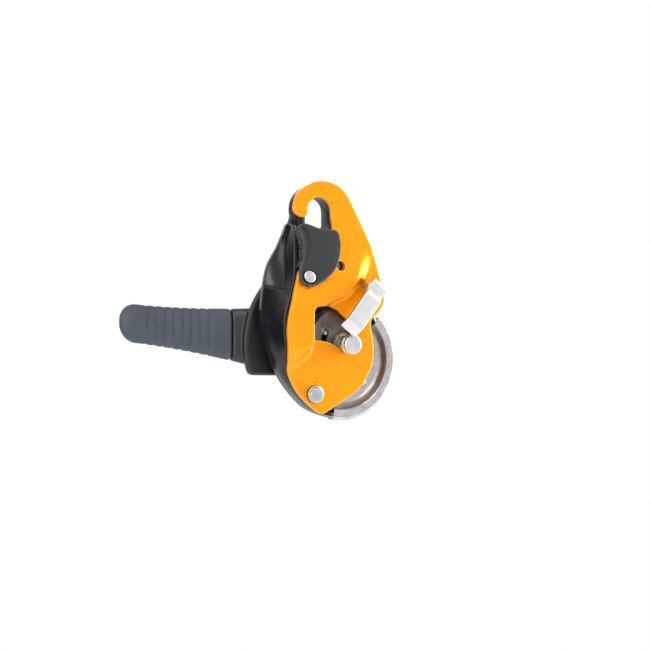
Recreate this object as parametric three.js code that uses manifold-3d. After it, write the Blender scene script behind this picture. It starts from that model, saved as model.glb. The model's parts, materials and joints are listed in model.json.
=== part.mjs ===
// A self-braking rope descender: two side plates on a pivot, a cam and a handle on one main axle,
// a gate that closes the attachment eye, and an open auxiliary brake on the front plate.
// Millimetres. The origin is the centre of the attachment eye. +X is right, +Y is back, towards the
// handle, and +Z is up. The front side plate faces -Y.

import * as THREE from 'three';
import { mergeVertices } from 'three/addons/utils/BufferGeometryUtils.js';
import Module from 'manifold-3d';

const wasm = await Module();
wasm.setup();

// ---------------------------------------------------------------- driving dimensions

const GAP = 0.3; // clearance between pieces that touch
const SWING_GAP = 1.2; // clearance between the front plate and the guard's wall, which it swings over
const PLATE = 3; // thickness of each side plate

// Levels along Y, each the distance of a face in front of the eye's centre.
const HOOK_LEVEL = 6.3; // front face of the front plate at its hook
const BASE_LEVEL = 12; // front face of the front plate around the main axle
const BULGE_LEVEL = 20; // front face of the front plate's raised middle
const FRONT_SLOPE = 0.24; // rise of the front plate from the hook to the bulge, per millimetre of Z
const BULGE_TOP = -57; // Z where that rise ends
const BULGE_FOOT = -82; // Z where the bulge starts to fall again
const BULGE_FALL = 24; // length of that fall

// Levels along Y of the rear half, behind the eye's centre.
const REAR_FRONT = 5; // front face of the rear plate
const REAR_BACK = REAR_FRONT + PLATE;
const LUG_FRONT = -3; // front face of the thick lug around the eye
const SKIN_BACK = 10.6; // back face of the moulded guard
const WIDEST_LEVEL = 4; // level where the guard's wall is widest

const EYE_RADIUS = 8.3;
const EYE_TOP = -1; // Z of the centre of the eye's upper arc
const EYE_FOOT = -9; // Z of the centre of its lower arc
const LUG_CENTRE = new THREE.Vector2(0.6, 0);
const LUG_RADIUS = 15.4;

const AXLE = new THREE.Vector2(16.3, -84.7); // main axle, X and Z
const AXLE_RADIUS = 6.5;
const AXLE_NECK = 4.2; // neck that runs in the front plate's arc slot
const AXLE_HEAD = 6;
const PIVOT = new THREE.Vector2(-6.1, -115.6); // pivot of the front side plate
const PIVOT_SHANK = 3.6;
const STUD = new THREE.Vector2(10.6, -35.7); // locking stud behind the small hole beside the gate

const RIM = new THREE.Vector2(19, -94); // centre of the friction rim
const RIM_RADIUS = 38.9;
const RIM_START = 44; // degrees from +X, upper right end
const RIM_END = -101; // degrees, lower left end

const WALL = 2.4; // wall of the moulded guard
const GATE_THICK = 3.4;
const GATE_HEEL = 0.9; // how far the gate's flange stands out behind the front plate
const GATE_RIVET = new THREE.Vector3(-14.2, -16.8, -43.7); // where its axis meets the front plate
const GATE_TILT = -Math.atan(FRONT_SLOPE); // the gate lies on the sloping part of the front plate
const GATE_SEAT = 6.4; // radius of the front plate's corner round the gate's axis

const BRAKE_START = new THREE.Vector2(32.8, -48.2); // foot of the auxiliary brake, X and Z
const BRAKE_BEARING = 232; // direction that it reaches in, degrees from +X
const BRAKE_WIDTH = 12.5;

const CATCH_PIN = new THREE.Vector2(-7, -50);
const STOP_REACH = 14.5; // distance of the cam's stop pin from the main axle
const STOP_BEARING = 150; // its direction from the axle, degrees
const STOP_PIN_RADIUS = 1.6;
const CAM_TRAVEL = 20; // degrees that the cam turns

const HUB_RADIUS = 21;
const LEVER_FRONT = 14.5; // front face of the lever's root
const LEVER_BACK = 22; // back face of its boss
const FAN_RADIUS = 58; // reach of the lever's wide root
const BUTTON = new THREE.Vector2(-12, -84.7);

// ---------------------------------------------------------------- materials

const metal = (color, roughness) => new THREE.MeshStandardMaterial({ color, roughness, metalness: 0.9 });
const plastic = (color, roughness) => new THREE.MeshStandardMaterial({ color, roughness, metalness: 0 });

const YELLOW = new THREE.MeshStandardMaterial({ color: 0xf7a600, roughness: 0.35, metalness: 0.3 });
const BLACK_METAL = new THREE.MeshStandardMaterial({ color: 0x1d1e20, roughness: 0.4, metalness: 0.5 });
const STAINLESS = metal(0xc9c9c9, 0.35);
const STEEL = metal(0xb4b4b2, 0.3);
const SPRING_STEEL = metal(0x8d8f92, 0.35);
const BRONZE = metal(0xb08d57, 0.4);
const BLACK_PLASTIC = plastic(0x2b2c2f, 0.35);
const GATE_PLASTIC = plastic(0x3e3f42, 0.55);
const GRIP_RUBBER = plastic(0x46505c, 0.6);
const BUTTON_PLASTIC = plastic(0xd24a1e, 0.4);

// ---------------------------------------------------------------- small helpers

const v2 = (x, y) => new THREE.Vector2(x, y);
const radians = THREE.MathUtils.degToRad;
const smoothstep = (t) => THREE.MathUtils.smoothstep(t, 0, 1);

/** Point at a radius and an angle in degrees about a centre. */
function polar(centre, radius, degrees) {
  const angle = radians(degrees);
  return v2(centre.x + radius * Math.cos(angle), centre.y + radius * Math.sin(angle));
}

/** Points of an arc about a centre, from one angle to another, in degrees. */
function arc(centre, radius, from, to, steps) {
  const points = [];
  for (let i = 0; i <= steps; i += 1) {
    points.push(polar(centre, radius, from + ((to - from) * i) / steps));
  }
  return points;
}

/** Evenly spread points of a smooth curve through the points given. */
function smoothLine(points, divisions) {
  return new THREE.SplineCurve(points).getSpacedPoints(divisions);
}

/** The same line moved sideways by a distance, to the left of its direction. */
function offsetLine(points, distance) {
  return points.map((point, i) => {
    const before = points[Math.max(i - 1, 0)];
    const after = points[Math.min(i + 1, points.length - 1)];
    const along = after.clone().sub(before).normalize();
    return v2(point.x - along.y * distance, point.y + along.x * distance);
  });
}

/** Six times the signed volume of an indexed mesh. */
function signedVolume(positions, index) {
  const a = new THREE.Vector3();
  const b = new THREE.Vector3();
  const c = new THREE.Vector3();
  let sum = 0;
  for (let i = 0; i < index.length; i += 3) {
    a.fromArray(positions, index[i] * 3);
    b.fromArray(positions, index[i + 1] * 3);
    c.fromArray(positions, index[i + 2] * 3);
    sum += a.dot(b.cross(c));
  }
  return sum;
}

/** A manifold solid from a closed geometry, with its faces turned outwards. */
function solid(geometry) {
  const bare = geometry.clone();
  bare.deleteAttribute('normal');
  bare.deleteAttribute('uv');
  const merged = mergeVertices(bare, 1e-4);
  const positions = merged.getAttribute('position').array;
  const index = Array.from(merged.index.array);
  const triangles = [];
  for (let i = 0; i < index.length; i += 3) {
    const [p, q, r] = [index[i], index[i + 1], index[i + 2]];
    if (p !== q && q !== r && p !== r) {
      triangles.push(p, q, r);
    }
  }
  if (signedVolume(positions, triangles) < 0) {
    triangles.reverse();
  }
  return new wasm.Manifold(new wasm.Mesh({
    numProp: 3,
    vertProperties: Float32Array.from(positions),
    triVerts: Uint32Array.from(triangles),
  }));
}

/** A named mesh of a manifold solid. */
function piece(name, material, manifold) {
  const mesh = manifold.getMesh();
  const geometry = new THREE.BufferGeometry();
  geometry.setAttribute('position', new THREE.BufferAttribute(mesh.vertProperties, 3));
  geometry.setIndex(new THREE.BufferAttribute(mesh.triVerts, 1));
  const result = new THREE.Mesh(geometry, material);
  result.name = name;
  return result;
}

/** A flat slab with an outline in X and Z, between two levels of Y. */
function slab(outline, back, front) {
  const settings = { depth: back - front, bevelEnabled: false, steps: 1 };
  const geometry = new THREE.ExtrudeGeometry(new THREE.Shape(outline), settings);
  geometry.rotateX(Math.PI / 2);
  geometry.translate(0, back, 0);
  return solid(geometry);
}

/** A turned solid about an axis along Y; the profile holds radius and Y, and ends on the axis or closes. */
function turned(profile, centre = v2(0, 0), segments = 20) {
  const points = profile.map(([radius, y]) => v2(radius, y));
  const geometry = new THREE.LatheGeometry(points, segments);
  geometry.translate(centre.x, 0, centre.y);
  return solid(geometry);
}

/** A plain round bar along Y, also used as the cutter for a round hole. */
function bar(centre, radius, back, front, segments = 20) {
  return turned([[0, front], [radius, front], [radius, back], [0, back]], centre, segments);
}

/** A ring about an axis along Y. */
function ring(centre, inner, outer, back, front, segments = 20) {
  const profile = [[inner, front], [outer, front], [outer, back], [inner, back], [inner, front]];
  return turned(profile, centre, segments);
}

/** A closed body through stations. `place` puts a point of the section at a station in space. */
function sweep(section, count, place, closed = false) {
  const profile = THREE.ShapeUtils.isClockWise(section) ? [...section].reverse() : section;
  const n = profile.length;
  const positions = [];
  const index = [];
  for (let i = 0; i < count; i += 1) {
    for (const point of profile) {
      positions.push(...place(point, i).toArray());
    }
  }
  for (let i = 0; i < (closed ? count : count - 1); i += 1) {
    const a = i * n;
    const b = ((i + 1) % count) * n;
    for (let j = 0; j < n; j += 1) {
      const k = (j + 1) % n;
      index.push(a + j, a + k, b + k, a + j, b + k, b + j);
    }
  }
  if (!closed) {
    const last = (count - 1) * n;
    for (const [p, q, r] of THREE.ShapeUtils.triangulateShape(profile, [])) {
      const flip = THREE.ShapeUtils.isClockWise([profile[p], profile[q], profile[r]]);
      const [s, t] = flip ? [r, q] : [q, r];
      index.push(p, t, s, last + p, last + s, last + t);
    }
  }
  const geometry = new THREE.BufferGeometry();
  geometry.setAttribute('position', new THREE.Float32BufferAttribute(positions, 3));
  geometry.setIndex(index);
  return solid(geometry);
}

/** A coil along +Y from the origin, as a round wire swept along a helix. */
class Helix extends THREE.Curve {
  constructor(radius, turns, pitch) {
    super();
    this.radius = radius;
    this.turns = turns;
    this.pitch = pitch;
  }

  getPoint(t, target = new THREE.Vector3()) {
    const angle = 2 * Math.PI * this.turns * t;
    const height = this.pitch * this.turns * t;
    return target.set(this.radius * Math.cos(angle), height, this.radius * Math.sin(angle));
  }
}

function coil(radius, wire, turns, pitch) {
  const section = new THREE.Shape(arc(v2(0, 0), wire / 2, 0, 288, 4));
  const path = new Helix(radius, turns, pitch);
  const settings = { steps: Math.round(turns * 9), bevelEnabled: false, extrudePath: path };
  return solid(new THREE.ExtrudeGeometry(section, settings));
}

// ---------------------------------------------------------------- shape of the front side plate

/** Length of the way past zero, rounded off over a couple of millimetres. */
function softRamp(x) {
  const rounding = 1.2;
  return x > 20 * rounding ? x : rounding * Math.log1p(Math.exp(x / rounding));
}

/** Level of the raised part, which climbs from the hook to the bulge and falls below it. */
function raisedLevel(z) {
  const climb = FRONT_SLOPE * (softRamp(-z) - softRamp(BULGE_TOP - z));
  const fall = smoothstep((BULGE_FOOT - z) / BULGE_FALL);
  return HOOK_LEVEL + climb - (BULGE_LEVEL - BASE_LEVEL - 1) * fall;
}

/** Right-hand edge of the raised part, from the top down. */
const FOLD = smoothLine([
  v2(36, -8), v2(33, -20), v2(29.5, -34), v2(24, -45), v2(14.5, -54), v2(2, -59.5),
  v2(-5, -65), v2(-7, -74), v2(-8.5, -83), v2(-14, -91), v2(-25, -99), v2(-38, -106),
], 60);

/** Width of the fold: broad beside the hook, tight beside the window, wider again at the lower left. */
function foldWidth(z) {
  return 4.6 + 5.4 * smoothstep((z + 50) / 16) + 4 * smoothstep((-84 - z) / 10);
}

/** Distance outside the fold line, negative inside. */
function outsideFold(x, z) {
  let nearest = Infinity;
  let side = 1;
  for (let i = 0; i + 1 < FOLD.length; i += 1) {
    const a = FOLD[i];
    const b = FOLD[i + 1];
    const along = b.clone().sub(a);
    const t = THREE.MathUtils.clamp(((x - a.x) * along.x + (z - a.y) * along.y) / along.lengthSq(), 0, 1);
    const distance = Math.hypot(x - a.x - t * along.x, z - a.y - t * along.y);
    if (distance < nearest) {
      nearest = distance;
      side = along.x * (z - a.y) - along.y * (x - a.x) > 0 ? 1 : -1;
    }
  }
  return side * nearest;
}

/** Distance of the front plate's front face in front of the eye's centre. */
function frontLevel(x, z) {
  const raised = raisedLevel(z);
  const outside = smoothstep(0.5 + outsideFold(x, z) / foldWidth(z));
  return raised - Math.max(0, raised - BASE_LEVEL) * outside;
}

/** A pressed sheet that follows the front plate's levels over a rectangle. */
function pressedSheet(xFrom, xTo, zFrom, zTo, cell) {
  const columns = Math.ceil((xTo - xFrom) / cell);
  const rows = Math.ceil((zTo - zFrom) / cell);
  const positions = [];
  const index = [];
  for (const behind of [0, PLATE]) {
    for (let row = 0; row <= rows; row += 1) {
      for (let column = 0; column <= columns; column += 1) {
        const x = xFrom + ((xTo - xFrom) * column) / columns;
        const z = zFrom + ((zTo - zFrom) * row) / rows;
        positions.push(x, behind - frontLevel(x, z), z);
      }
    }
  }
  const layer = (rows + 1) * (columns + 1);
  const at = (row, column) => row * (columns + 1) + column;
  const quad = (a, b, c, d) => index.push(a, b, c, a, c, d);
  for (let row = 0; row < rows; row += 1) {
    for (let column = 0; column < columns; column += 1) {
      const [a, b] = [at(row, column), at(row, column + 1)];
      const [c, d] = [at(row + 1, column + 1), at(row + 1, column)];
      quad(a, b, c, d);
      quad(layer + d, layer + c, layer + b, layer + a);
    }
  }
  const border = [];
  for (let column = 0; column < columns; column += 1) {
    border.push(at(0, column));
  }
  for (let row = 0; row < rows; row += 1) {
    border.push(at(row, columns));
  }
  for (let column = columns; column > 0; column -= 1) {
    border.push(at(rows, column));
  }
  for (let row = rows; row > 0; row -= 1) {
    border.push(at(row, 0));
  }
  border.forEach((p, i) => {
    const q = border[(i + 1) % border.length];
    quad(q, p, layer + p, layer + q);
  });
  const geometry = new THREE.BufferGeometry();
  geometry.setAttribute('position', new THREE.Float32BufferAttribute(positions, 3));
  geometry.setIndex(index);
  return solid(geometry);
}

/** Outline of the front plate: hook round the eye, right edge, round foot, left edge. */
function frontOutline() {
  const hook = smoothLine([
    v2(-13.2, -5.8), v2(-16.6, -3.6), v2(-18.1, 0.6), v2(-15.1, 9.5), v2(-5.3, 16.1), v2(4, 17.5),
    v2(14.6, 14.3), v2(22.7, 5.1), v2(30.9, -13.9), v2(36.1, -28.3), v2(40.8, -43.9), v2(43.8, -56),
    v2(40.5, -63.5), v2(34, -71), v2(35.9, -88.1), v2(34, -99.7), v2(25.3, -112.8), v2(12.6, -120.8),
    v2(3, -126.5), v2(-2.5, -127.6), v2(-12.6, -120.2), v2(-20.1, -111.4), v2(-25, -100.5),
    v2(-28.3, -84), v2(-28.7, -72.8), v2(-24.8, -55.4), v2(-20.3, -42.6),
  ], 96);
  const gateAxis = v2(GATE_RIVET.x, GATE_RIVET.z);
  const slot = [...arc(gateAxis, GATE_SEAT, 148, 63, 8), polar(gateAxis, 33.5, 52), v2(8.1, -12)];
  const eye = arc(v2(0, EYE_TOP), EYE_RADIUS - 0.1, 0, 190, 16);
  return [...hook, ...slot, ...eye, v2(-9.4, -4.6)];
}

/** Window that shows the cam; its lower edge is the arc slot that the axle's neck runs in. */
function windowOutline() {
  const reach = AXLE.distanceTo(PIVOT);
  const bearing = THREE.MathUtils.radToDeg(Math.atan2(AXLE.y - PIVOT.y, AXLE.x - PIVOT.x));
  const slotRadius = AXLE_NECK + GAP;
  const leftEdge = -10.3;
  const lastAngle = THREE.MathUtils.radToDeg(Math.acos((leftEdge - PIVOT.x) / (reach - slotRadius)));
  return [
    ...arc(PIVOT, reach - slotRadius, lastAngle, bearing, 8),
    ...arc(AXLE, slotRadius, bearing - 150, bearing - 10, 8),
    v2(20, -76), v2(16, -69), v2(10, -63.5), v2(4, -60.8), v2(-3, -61),
    ...arc(v2(-6.3, -65), 4, 100, 180, 4),
  ];
}

/** Places of the two screws that hold the auxiliary brake, on either side of its foot. */
const BRAKE_SCREWS = [3, -3].map((reach) => polar(BRAKE_START, reach, BRAKE_BEARING - 90));

function frontSidePlate() {
  const blank = slab(frontOutline(), 10, -30);
  const sheet = pressedSheet(-34, 48, -132, 20, 5);
  const cutters = [
    slab(windowOutline(), 10, -30),
    bar(STUD, 2.9, 10, -30),
    bar(PIVOT, 5.2, 10, -30),
    ...BRAKE_SCREWS.map((place) => bar(place, 1.8, 10, -30)),
    gateAligned(bar(v2(0, 0), 2.7, 12, -12)),
  ];
  return cutters.reduce((body, cutter) => body.subtract(cutter), sheet.intersect(blank));
}

/** Moves a solid made about the gate's own axis to where the gate is. */
function gateAligned(body) {
  const degrees = THREE.MathUtils.radToDeg(GATE_TILT);
  return body.rotate([degrees, 0, 0]).translate(GATE_RIVET.toArray());
}

// ---------------------------------------------------------------- fixed body

/** Left edge of the body where it is widest, from the lug's shoulder down to the bottom. */
const SIDE_LINE = smoothLine([
  v2(-17.3, -9), v2(-22.8, -21.4), v2(-30.3, -35), v2(-34, -51.3), v2(-35.4, -67),
  v2(-33.6, -79), v2(-28, -95.8), v2(-18.8, -111.2), v2(-5.5, -124.6), v2(8.2, -130.2),
], 20);

/** Front edge of the guard's wall, just behind the front plate's left edge. */
const WALL_LINE = smoothLine([
  v2(-17.2, -10), v2(-18.6, -24), v2(-21, -41), v2(-25.6, -55.4), v2(-29, -70), v2(-28.4, -84),
  v2(-24.4, -100), v2(-19, -111.4), v2(-11.6, -119.8), v2(-2.2, -127), v2(8.2, -129.6),
], 20);

function eyeOutline(radius) {
  return [...arc(v2(0, EYE_TOP), radius, 0, 180, 14), ...arc(v2(0, EYE_FOOT), radius, 180, 360, 14)];
}

/** Outline of the rear plate, with its left side moved in from the guard by an inset. */
function rearOutline(inset) {
  const left = offsetLine(SIDE_LINE, inset + 1.5).slice(3, -2);
  return [
    ...arc(LUG_CENTRE, LUG_RADIUS, -12, 196, 20),
    ...left,
    ...arc(RIM, RIM_RADIUS - 1.4 - inset, -105, 34, 18),
    ...smoothLine([v2(47.5 - inset, -66), v2(38, -52), v2(27, -34), v2(19.5, -16)], 5).slice(1),
  ];
}

const STOP_PIN = polar(AXLE, STOP_REACH, STOP_BEARING);

/** Places of the guard's four screws. */
const GUARD_SCREWS = [v2(-14, -28), v2(14, -30), v2(-25, -84), v2(14, -123)];
const FRICTION_RIVETS = [5, -42, -88].map((degrees) => polar(RIM, 23.2, degrees));

function rearSidePlate() {
  const plate = slab(rearOutline(WALL), REAR_BACK, REAR_FRONT);
  const lugOutline = [
    ...arc(LUG_CENTRE, LUG_RADIUS, -12, 196, 20),
    v2(-15, -19), v2(-8, -23), v2(12, -23), v2(17.5, -14),
  ];
  const lug = slab(lugOutline, REAR_BACK, LUG_FRONT);
  const cutters = [
    slab(eyeOutline(EYE_RADIUS), REAR_BACK + 5, LUG_FRONT - 5),
    bar(AXLE, AXLE_RADIUS + GAP, 20, -20, 24),
    bar(PIVOT, PIVOT_SHANK + GAP, 20, -20),
    bar(STUD, 2.7, 20, -20),
    bar(CATCH_PIN, 2.3, 20, -20),
    bar(STOP_PIN, STOP_PIN_RADIUS + GAP, 20, -20, 16),
    ...GUARD_SCREWS.map((place) => bar(place, 1.8, 20, -20, 12)),
    ...FRICTION_RIVETS.map((place) => bar(place, 2.1, 20, -20, 12)),
  ];
  return cutters.reduce((body, cutter) => body.subtract(cutter), plate.add(lug));
}

/** Moulded guard: the left wall, round at its rear corner, and the skin over the rear plate. */
function sideGuard() {
  const inner = offsetLine(SIDE_LINE, WALL);
  const innerWall = offsetLine(WALL_LINE, WALL * 0.8);
  const corner = offsetLine(SIDE_LINE, 2.2);
  const cornerInner = offsetLine(SIDE_LINE, 5.5);
  const section = [v2(0, 0), v2(0, 1), v2(0, 2), v2(1, 2), v2(1, 1), v2(1, 0)];
  const lines = [[WALL_LINE, SIDE_LINE, corner], [innerWall, inner, cornerInner]];
  const place = (point, i) => {
    const line = lines[point.x][point.y][i];
    const front = WALL_LINE[i];
    const levels = [PLATE + SWING_GAP - frontLevel(front.x, front.y), WIDEST_LEVEL, SKIN_BACK];
    return new THREE.Vector3(line.x, levels[point.y], line.y);
  };
  const wall = sweep(section, SIDE_LINE.length, place);
  const skinOutline = [
    ...offsetLine(SIDE_LINE, 2.6).slice(2, -1),
    ...arc(RIM, RIM_RADIUS - 4.5, -100, 34, 16),
    v2(40, -64), v2(31, -50), v2(21.5, -33), v2(17, -25), v2(-12, -25),
  ];
  const skin = slab(skinOutline, SKIN_BACK, REAR_BACK + GAP);
  const room = slab(rearOutline(WALL - GAP), REAR_BACK + GAP, REAR_FRONT - GAP);
  const cutters = [
    room,
    bar(AXLE, AXLE_RADIUS + 3, 20, 0, 24),
    bar(PIVOT, 4.8, REAR_BACK + GAP, -20),
    ...GUARD_SCREWS.map((place) => bar(place, 1.8, 20, 6, 12)),
    ...GUARD_SCREWS.map((place) => bar(place, 3.5, 20, SKIN_BACK - 1.2)),
  ];
  return cutters.reduce((body, cutter) => body.subtract(cutter), wall.add(skin));
}

/** Stainless rim: a floor for the rope, a hollow that rises to a flange, and a lip back to the plate. */
function frictionPlate() {
  const sheet = 1.5;
  const floor = REAR_FRONT - GAP;
  const section = [
    v2(20.5, floor), v2(20.5, floor - sheet), v2(26, floor - sheet), v2(28.3, 2.6), v2(30.2, 1.1),
    v2(31.4, -0.8), v2(32.4, -2), v2(37, -2), v2(38.4, -1.3), v2(RIM_RADIUS, 0.2),
    v2(RIM_RADIUS, floor), v2(RIM_RADIUS - sheet, floor), v2(RIM_RADIUS - sheet, 0.4),
    v2(36.6, -0.5), v2(33.2, -0.5), v2(31.4, 2.4), v2(29.2, 4), v2(27.2, floor),
  ];
  const stations = 22;
  const body = sweep(section, stations, (point, i) => {
    const spot = polar(RIM, point.x, RIM_START + ((RIM_END - RIM_START) * i) / (stations - 1));
    return new THREE.Vector3(spot.x, point.y, spot.y);
  });
  return FRICTION_RIVETS.reduce((rest, place) => rest.subtract(bar(place, 2.1, 20, -20, 12)), body);
}

/** Main axle: grooved head, neck in the front plate's slot, shank through cam, plate and handle. */
function mainAxle() {
  return turned([
    [0, -21.3], [5.4, -21.3], [AXLE_HEAD, -20.7], [AXLE_HEAD, -18.7], [4.9, -18.3], [4.9, -16.8],
    [AXLE_HEAD, -16.4], [AXLE_HEAD, -12.5], [AXLE_NECK, -12.5], [AXLE_NECK, -8.6], [AXLE_RADIUS, -8.6],
    [AXLE_RADIUS, 24], [5.7, 24], [5.7, 25.2], [AXLE_RADIUS, 25.2], [AXLE_RADIUS, 26.2],
    [5.9, 26.8], [0, 26.8],
  ], AXLE, 24);
}

function platePivotAxle() {
  return turned([
    [0, -15.6], [4.2, -15.6], [4.7, -15.1], [4.7, -14], [5.5, -13.6], [5.5, -12.35], [PIVOT_SHANK, -12.35],
    [PIVOT_SHANK, -8.7], [4.4, -8.7], [4.4, REAR_FRONT - GAP], [PIVOT_SHANK, REAR_FRONT - GAP],
    [PIVOT_SHANK, REAR_BACK], [0, REAR_BACK],
  ], PIVOT);
}

function lockingStud() {
  return turned([
    [0, -8.6], [2.2, -8.6], [2.6, -8.2], [2.6, 1], [4, 1], [4, REAR_FRONT - GAP],
    [2.4, REAR_FRONT - GAP], [2.4, REAR_BACK], [0, REAR_BACK],
  ], STUD, 16);
}

function catchPin() {
  return turned([
    [0, -8], [2, -8], [2, 2.6], [3.2, 2.6], [3.2, REAR_FRONT - GAP], [2, REAR_FRONT - GAP],
    [2, REAR_BACK], [0, REAR_BACK],
  ], CATCH_PIN, 16);
}

function guardScrew(place) {
  return turned([
    [0, 5.2], [1.5, 5.2], [1.5, SKIN_BACK - 0.9], [3.2, SKIN_BACK - 0.9], [3.2, SKIN_BACK + 0.1],
    [2.4, SKIN_BACK + 0.6], [0, SKIN_BACK + 0.6],
  ], place, 18);
}

function frictionRivet(place) {
  const floor = REAR_FRONT - GAP - 1.5;
  return turned([
    [0, floor - 1.5], [1.5, floor - 1.3], [2.6, floor - GAP], [1.8, floor - GAP],
    [1.8, REAR_BACK], [0, REAR_BACK],
  ], place, 18);
}

// ---------------------------------------------------------------- parts on the front side plate

/** Auxiliary brake: a strip that stands on the plate, bends over the rope and dips at its free end. */
function auxiliaryBrake() {
  const foot = -BASE_LEVEL - GAP;
  const section = [
    v2(-2, foot), v2(-2, -25), v2(-0.6, -26.4), v2(2.6, -26.4), v2(4, -24.8), v2(5.4, -24.8),
    v2(8.6, -27.8), v2(29.8, -27.8), v2(36.4, -24.2), v2(34.9, -21.6), v2(28.9, -24.8),
    v2(9.7, -24.8), v2(6.8, -21.9), v2(3.6, -21.9), v2(3.6, foot),
  ];
  const body = sweep(section, 2, (point, i) => {
    const middle = polar(BRAKE_START, point.x, BRAKE_BEARING);
    const spot = polar(middle, (i - 0.5) * BRAKE_WIDTH, BRAKE_BEARING + 90);
    return new THREE.Vector3(spot.x, point.y, spot.y);
  });
  return BRAKE_SCREWS.reduce((rest, place) => rest.subtract(bar(place, 1.8, 0, -18, 14)), body);
}

function brakeScrew(place) {
  const back = PLATE - BASE_LEVEL;
  return turned([
    [0, -17.4], [1.5, -17.4], [1.5, back + 0.05], [2.6, back + GAP], [2.6, back + 0.9], [0, back + 0.9],
  ], place, 14);
}

function pivotBush() {
  return ring(PIVOT, PIVOT_SHANK + GAP, 4.9, PLATE - BASE_LEVEL, -BASE_LEVEL);
}

// ---------------------------------------------------------------- gate, about its own axis

const GATE_OUTLINE = smoothLine([
  v2(0.6, 34.7), v2(3.6, 34), v2(10, 31.8), v2(15, 31.1), v2(21.5, 30.9), v2(24.3, 28.6), v2(24.9, 22),
  v2(23.6, 15), v2(20.2, 7), v2(14.4, 0.6), v2(7.2, -4), v2(0.8, -5.7), v2(-3.4, -4.8), v2(-5.5, -1.6),
  v2(-5.8, 2.5), v2(-5.2, 6.5), v2(-3.9, 10), v2(-2.6, 14), v2(-2, 19.5), v2(-2.2, 25), v2(-3.2, 30.5),
  v2(-2.6, 33.6),
], 60);

/** Ribbed flange on the gate's left edge, which fills the opening in the front plate's edge. */
const GATE_FLANGE = [
  v2(-4.6, 8), v2(-3.9, 10), v2(-2.6, 14), v2(-2, 19.5), v2(-2.2, 25), v2(-3.2, 30.5), v2(-2.4, 32.8),
  v2(0, 33), v2(0.6, 28), v2(1.2, 20), v2(0.6, 14), v2(-0.6, 10), v2(-2, 8),
];

function gate() {
  const cover = slab(GATE_OUTLINE, -GAP, -GAP - GATE_THICK);
  const flange = slab(GATE_FLANGE, PLATE + GATE_HEEL, -GAP - GATE_THICK / 2);
  const body = cover.add(flange);
  return gateAligned(body.subtract(bar(v2(0, 0), 2.7, 5, -20)).subtract(bar(v2(0, 0), 4.7, 5, -2.5)));
}

function gateRivet() {
  const face = -GAP - GATE_THICK;
  return gateAligned(turned([
    [0, face - 0.7], [3.3, face - 0.7], [3.75, face - 0.45], [3.75, face - 0.2], [2.4, face - 0.2],
    [2.4, PLATE + 0.15], [3.4, PLATE + 0.15], [3.4, PLATE + 0.9], [0, PLATE + 0.9],
  ]));
}

function gateSpring() {
  return gateAligned(coil(3.7, 0.7, 1.2, 1).translate([0, -2, 0]));
}

// ---------------------------------------------------------------- cam and anti-error catch

/** Eccentric cam: most of its reach is to the upper left, and its rim is grooved for the rope. */
function cam() {
  const bore = 8;
  const stations = 30;
  const front = -8.4;
  const back = REAR_FRONT - GAP - 0.1;
  const section = [
    v2(0, front), v2(1, front), v2(1, -7.2), v2(0.76, -3.4), v2(0.76, -0.4), v2(1, 3.4), v2(1, back),
    v2(0.35, back), v2(0.35, 1.7), v2(0, 1.7),
  ];
  const body = sweep(section, stations, (point, i) => {
    const degrees = (360 * i) / stations;
    const reach = 19 + 5 * Math.cos(radians(degrees - 150));
    const spot = polar(AXLE, bore + point.x * (reach - bore), degrees);
    return new THREE.Vector3(spot.x, point.y, spot.y);
  }, true);
  return body.subtract(stopSlot());
}

/** Arc slot in the cam that the stop pin stands in at one end. */
function stopSlot() {
  const room = STOP_PIN_RADIUS + GAP;
  const pinShare = THREE.MathUtils.radToDeg(room / STOP_REACH);
  const from = STOP_BEARING - pinShare;
  const to = STOP_BEARING + CAM_TRAVEL + pinShare;
  const outline = [
    ...arc(AXLE, STOP_REACH + room, from, to, 6),
    ...arc(AXLE, STOP_REACH - room, to, from, 6),
  ];
  return slab(outline, 20, -20);
}

function camStopPin() {
  return bar(STOP_PIN, STOP_PIN_RADIUS, REAR_BACK, -7.6, 14);
}

function camBush() {
  return ring(AXLE, AXLE_RADIUS + 0.25, 7.7, 1.5, -8.3);
}

function camSpring() {
  return coil(9.2, 1, 1.5, 1.3).translate([AXLE.x, 2.4, AXLE.y]);
}

function antiErrorCatch() {
  const nose = smoothLine([
    v2(-12, -49), v2(-15, -56), v2(-20, -61.5), v2(-20.5, -64), v2(-16, -63), v2(-9, -55.5),
  ], 12);
  const body = slab([...arc(CATCH_PIN, 5, -100, 170, 12), ...nose], -1, -5);
  return body.subtract(bar(CATCH_PIN, 2.3, 20, -20));
}

function catchSpring() {
  return coil(3.2, 0.7, 2, 1.1).translate([CATCH_PIN.x, -0.3, CATCH_PIN.y]);
}

// ---------------------------------------------------------------- handle

function handleHub() {
  const disc = ring(AXLE, AXLE_RADIUS + GAP, HUB_RADIUS - 2, LEVER_FRONT - GAP, SKIN_BACK + 0.9, 28);
  return HANDLE_SCREWS.reduce((body, place) => body.subtract(bar(place, 1.8, 20, 0, 12)), disc);
}

const HANDLE_SCREWS = [v2(AXLE.x, AXLE.y + 13.5), v2(AXLE.x, AXLE.y - 13.5)];

/** Centre line, half width and half thickness of the lever at a share of its way from root to tip. */
const LEVER_ROOT = new THREE.Vector3(-18, 18.9, -82);
const LEVER_TIP = new THREE.Vector3(-113, 46, -70.5);
function leverStation(t) {
  const bend = t * t * (3 - 2 * t);
  return {
    centre: new THREE.Vector3(
      THREE.MathUtils.lerp(LEVER_ROOT.x, LEVER_TIP.x, t),
      THREE.MathUtils.lerp(LEVER_ROOT.y, LEVER_TIP.y, 0.35 * bend + 0.65 * t),
      THREE.MathUtils.lerp(LEVER_ROOT.z, LEVER_TIP.z, t),
    ),
    halfWidth: 12 + 9 * (1 - t) ** 2,
    halfThick: 4.4 + 1.4 * smoothstep(t * 2),
  };
}

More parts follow.
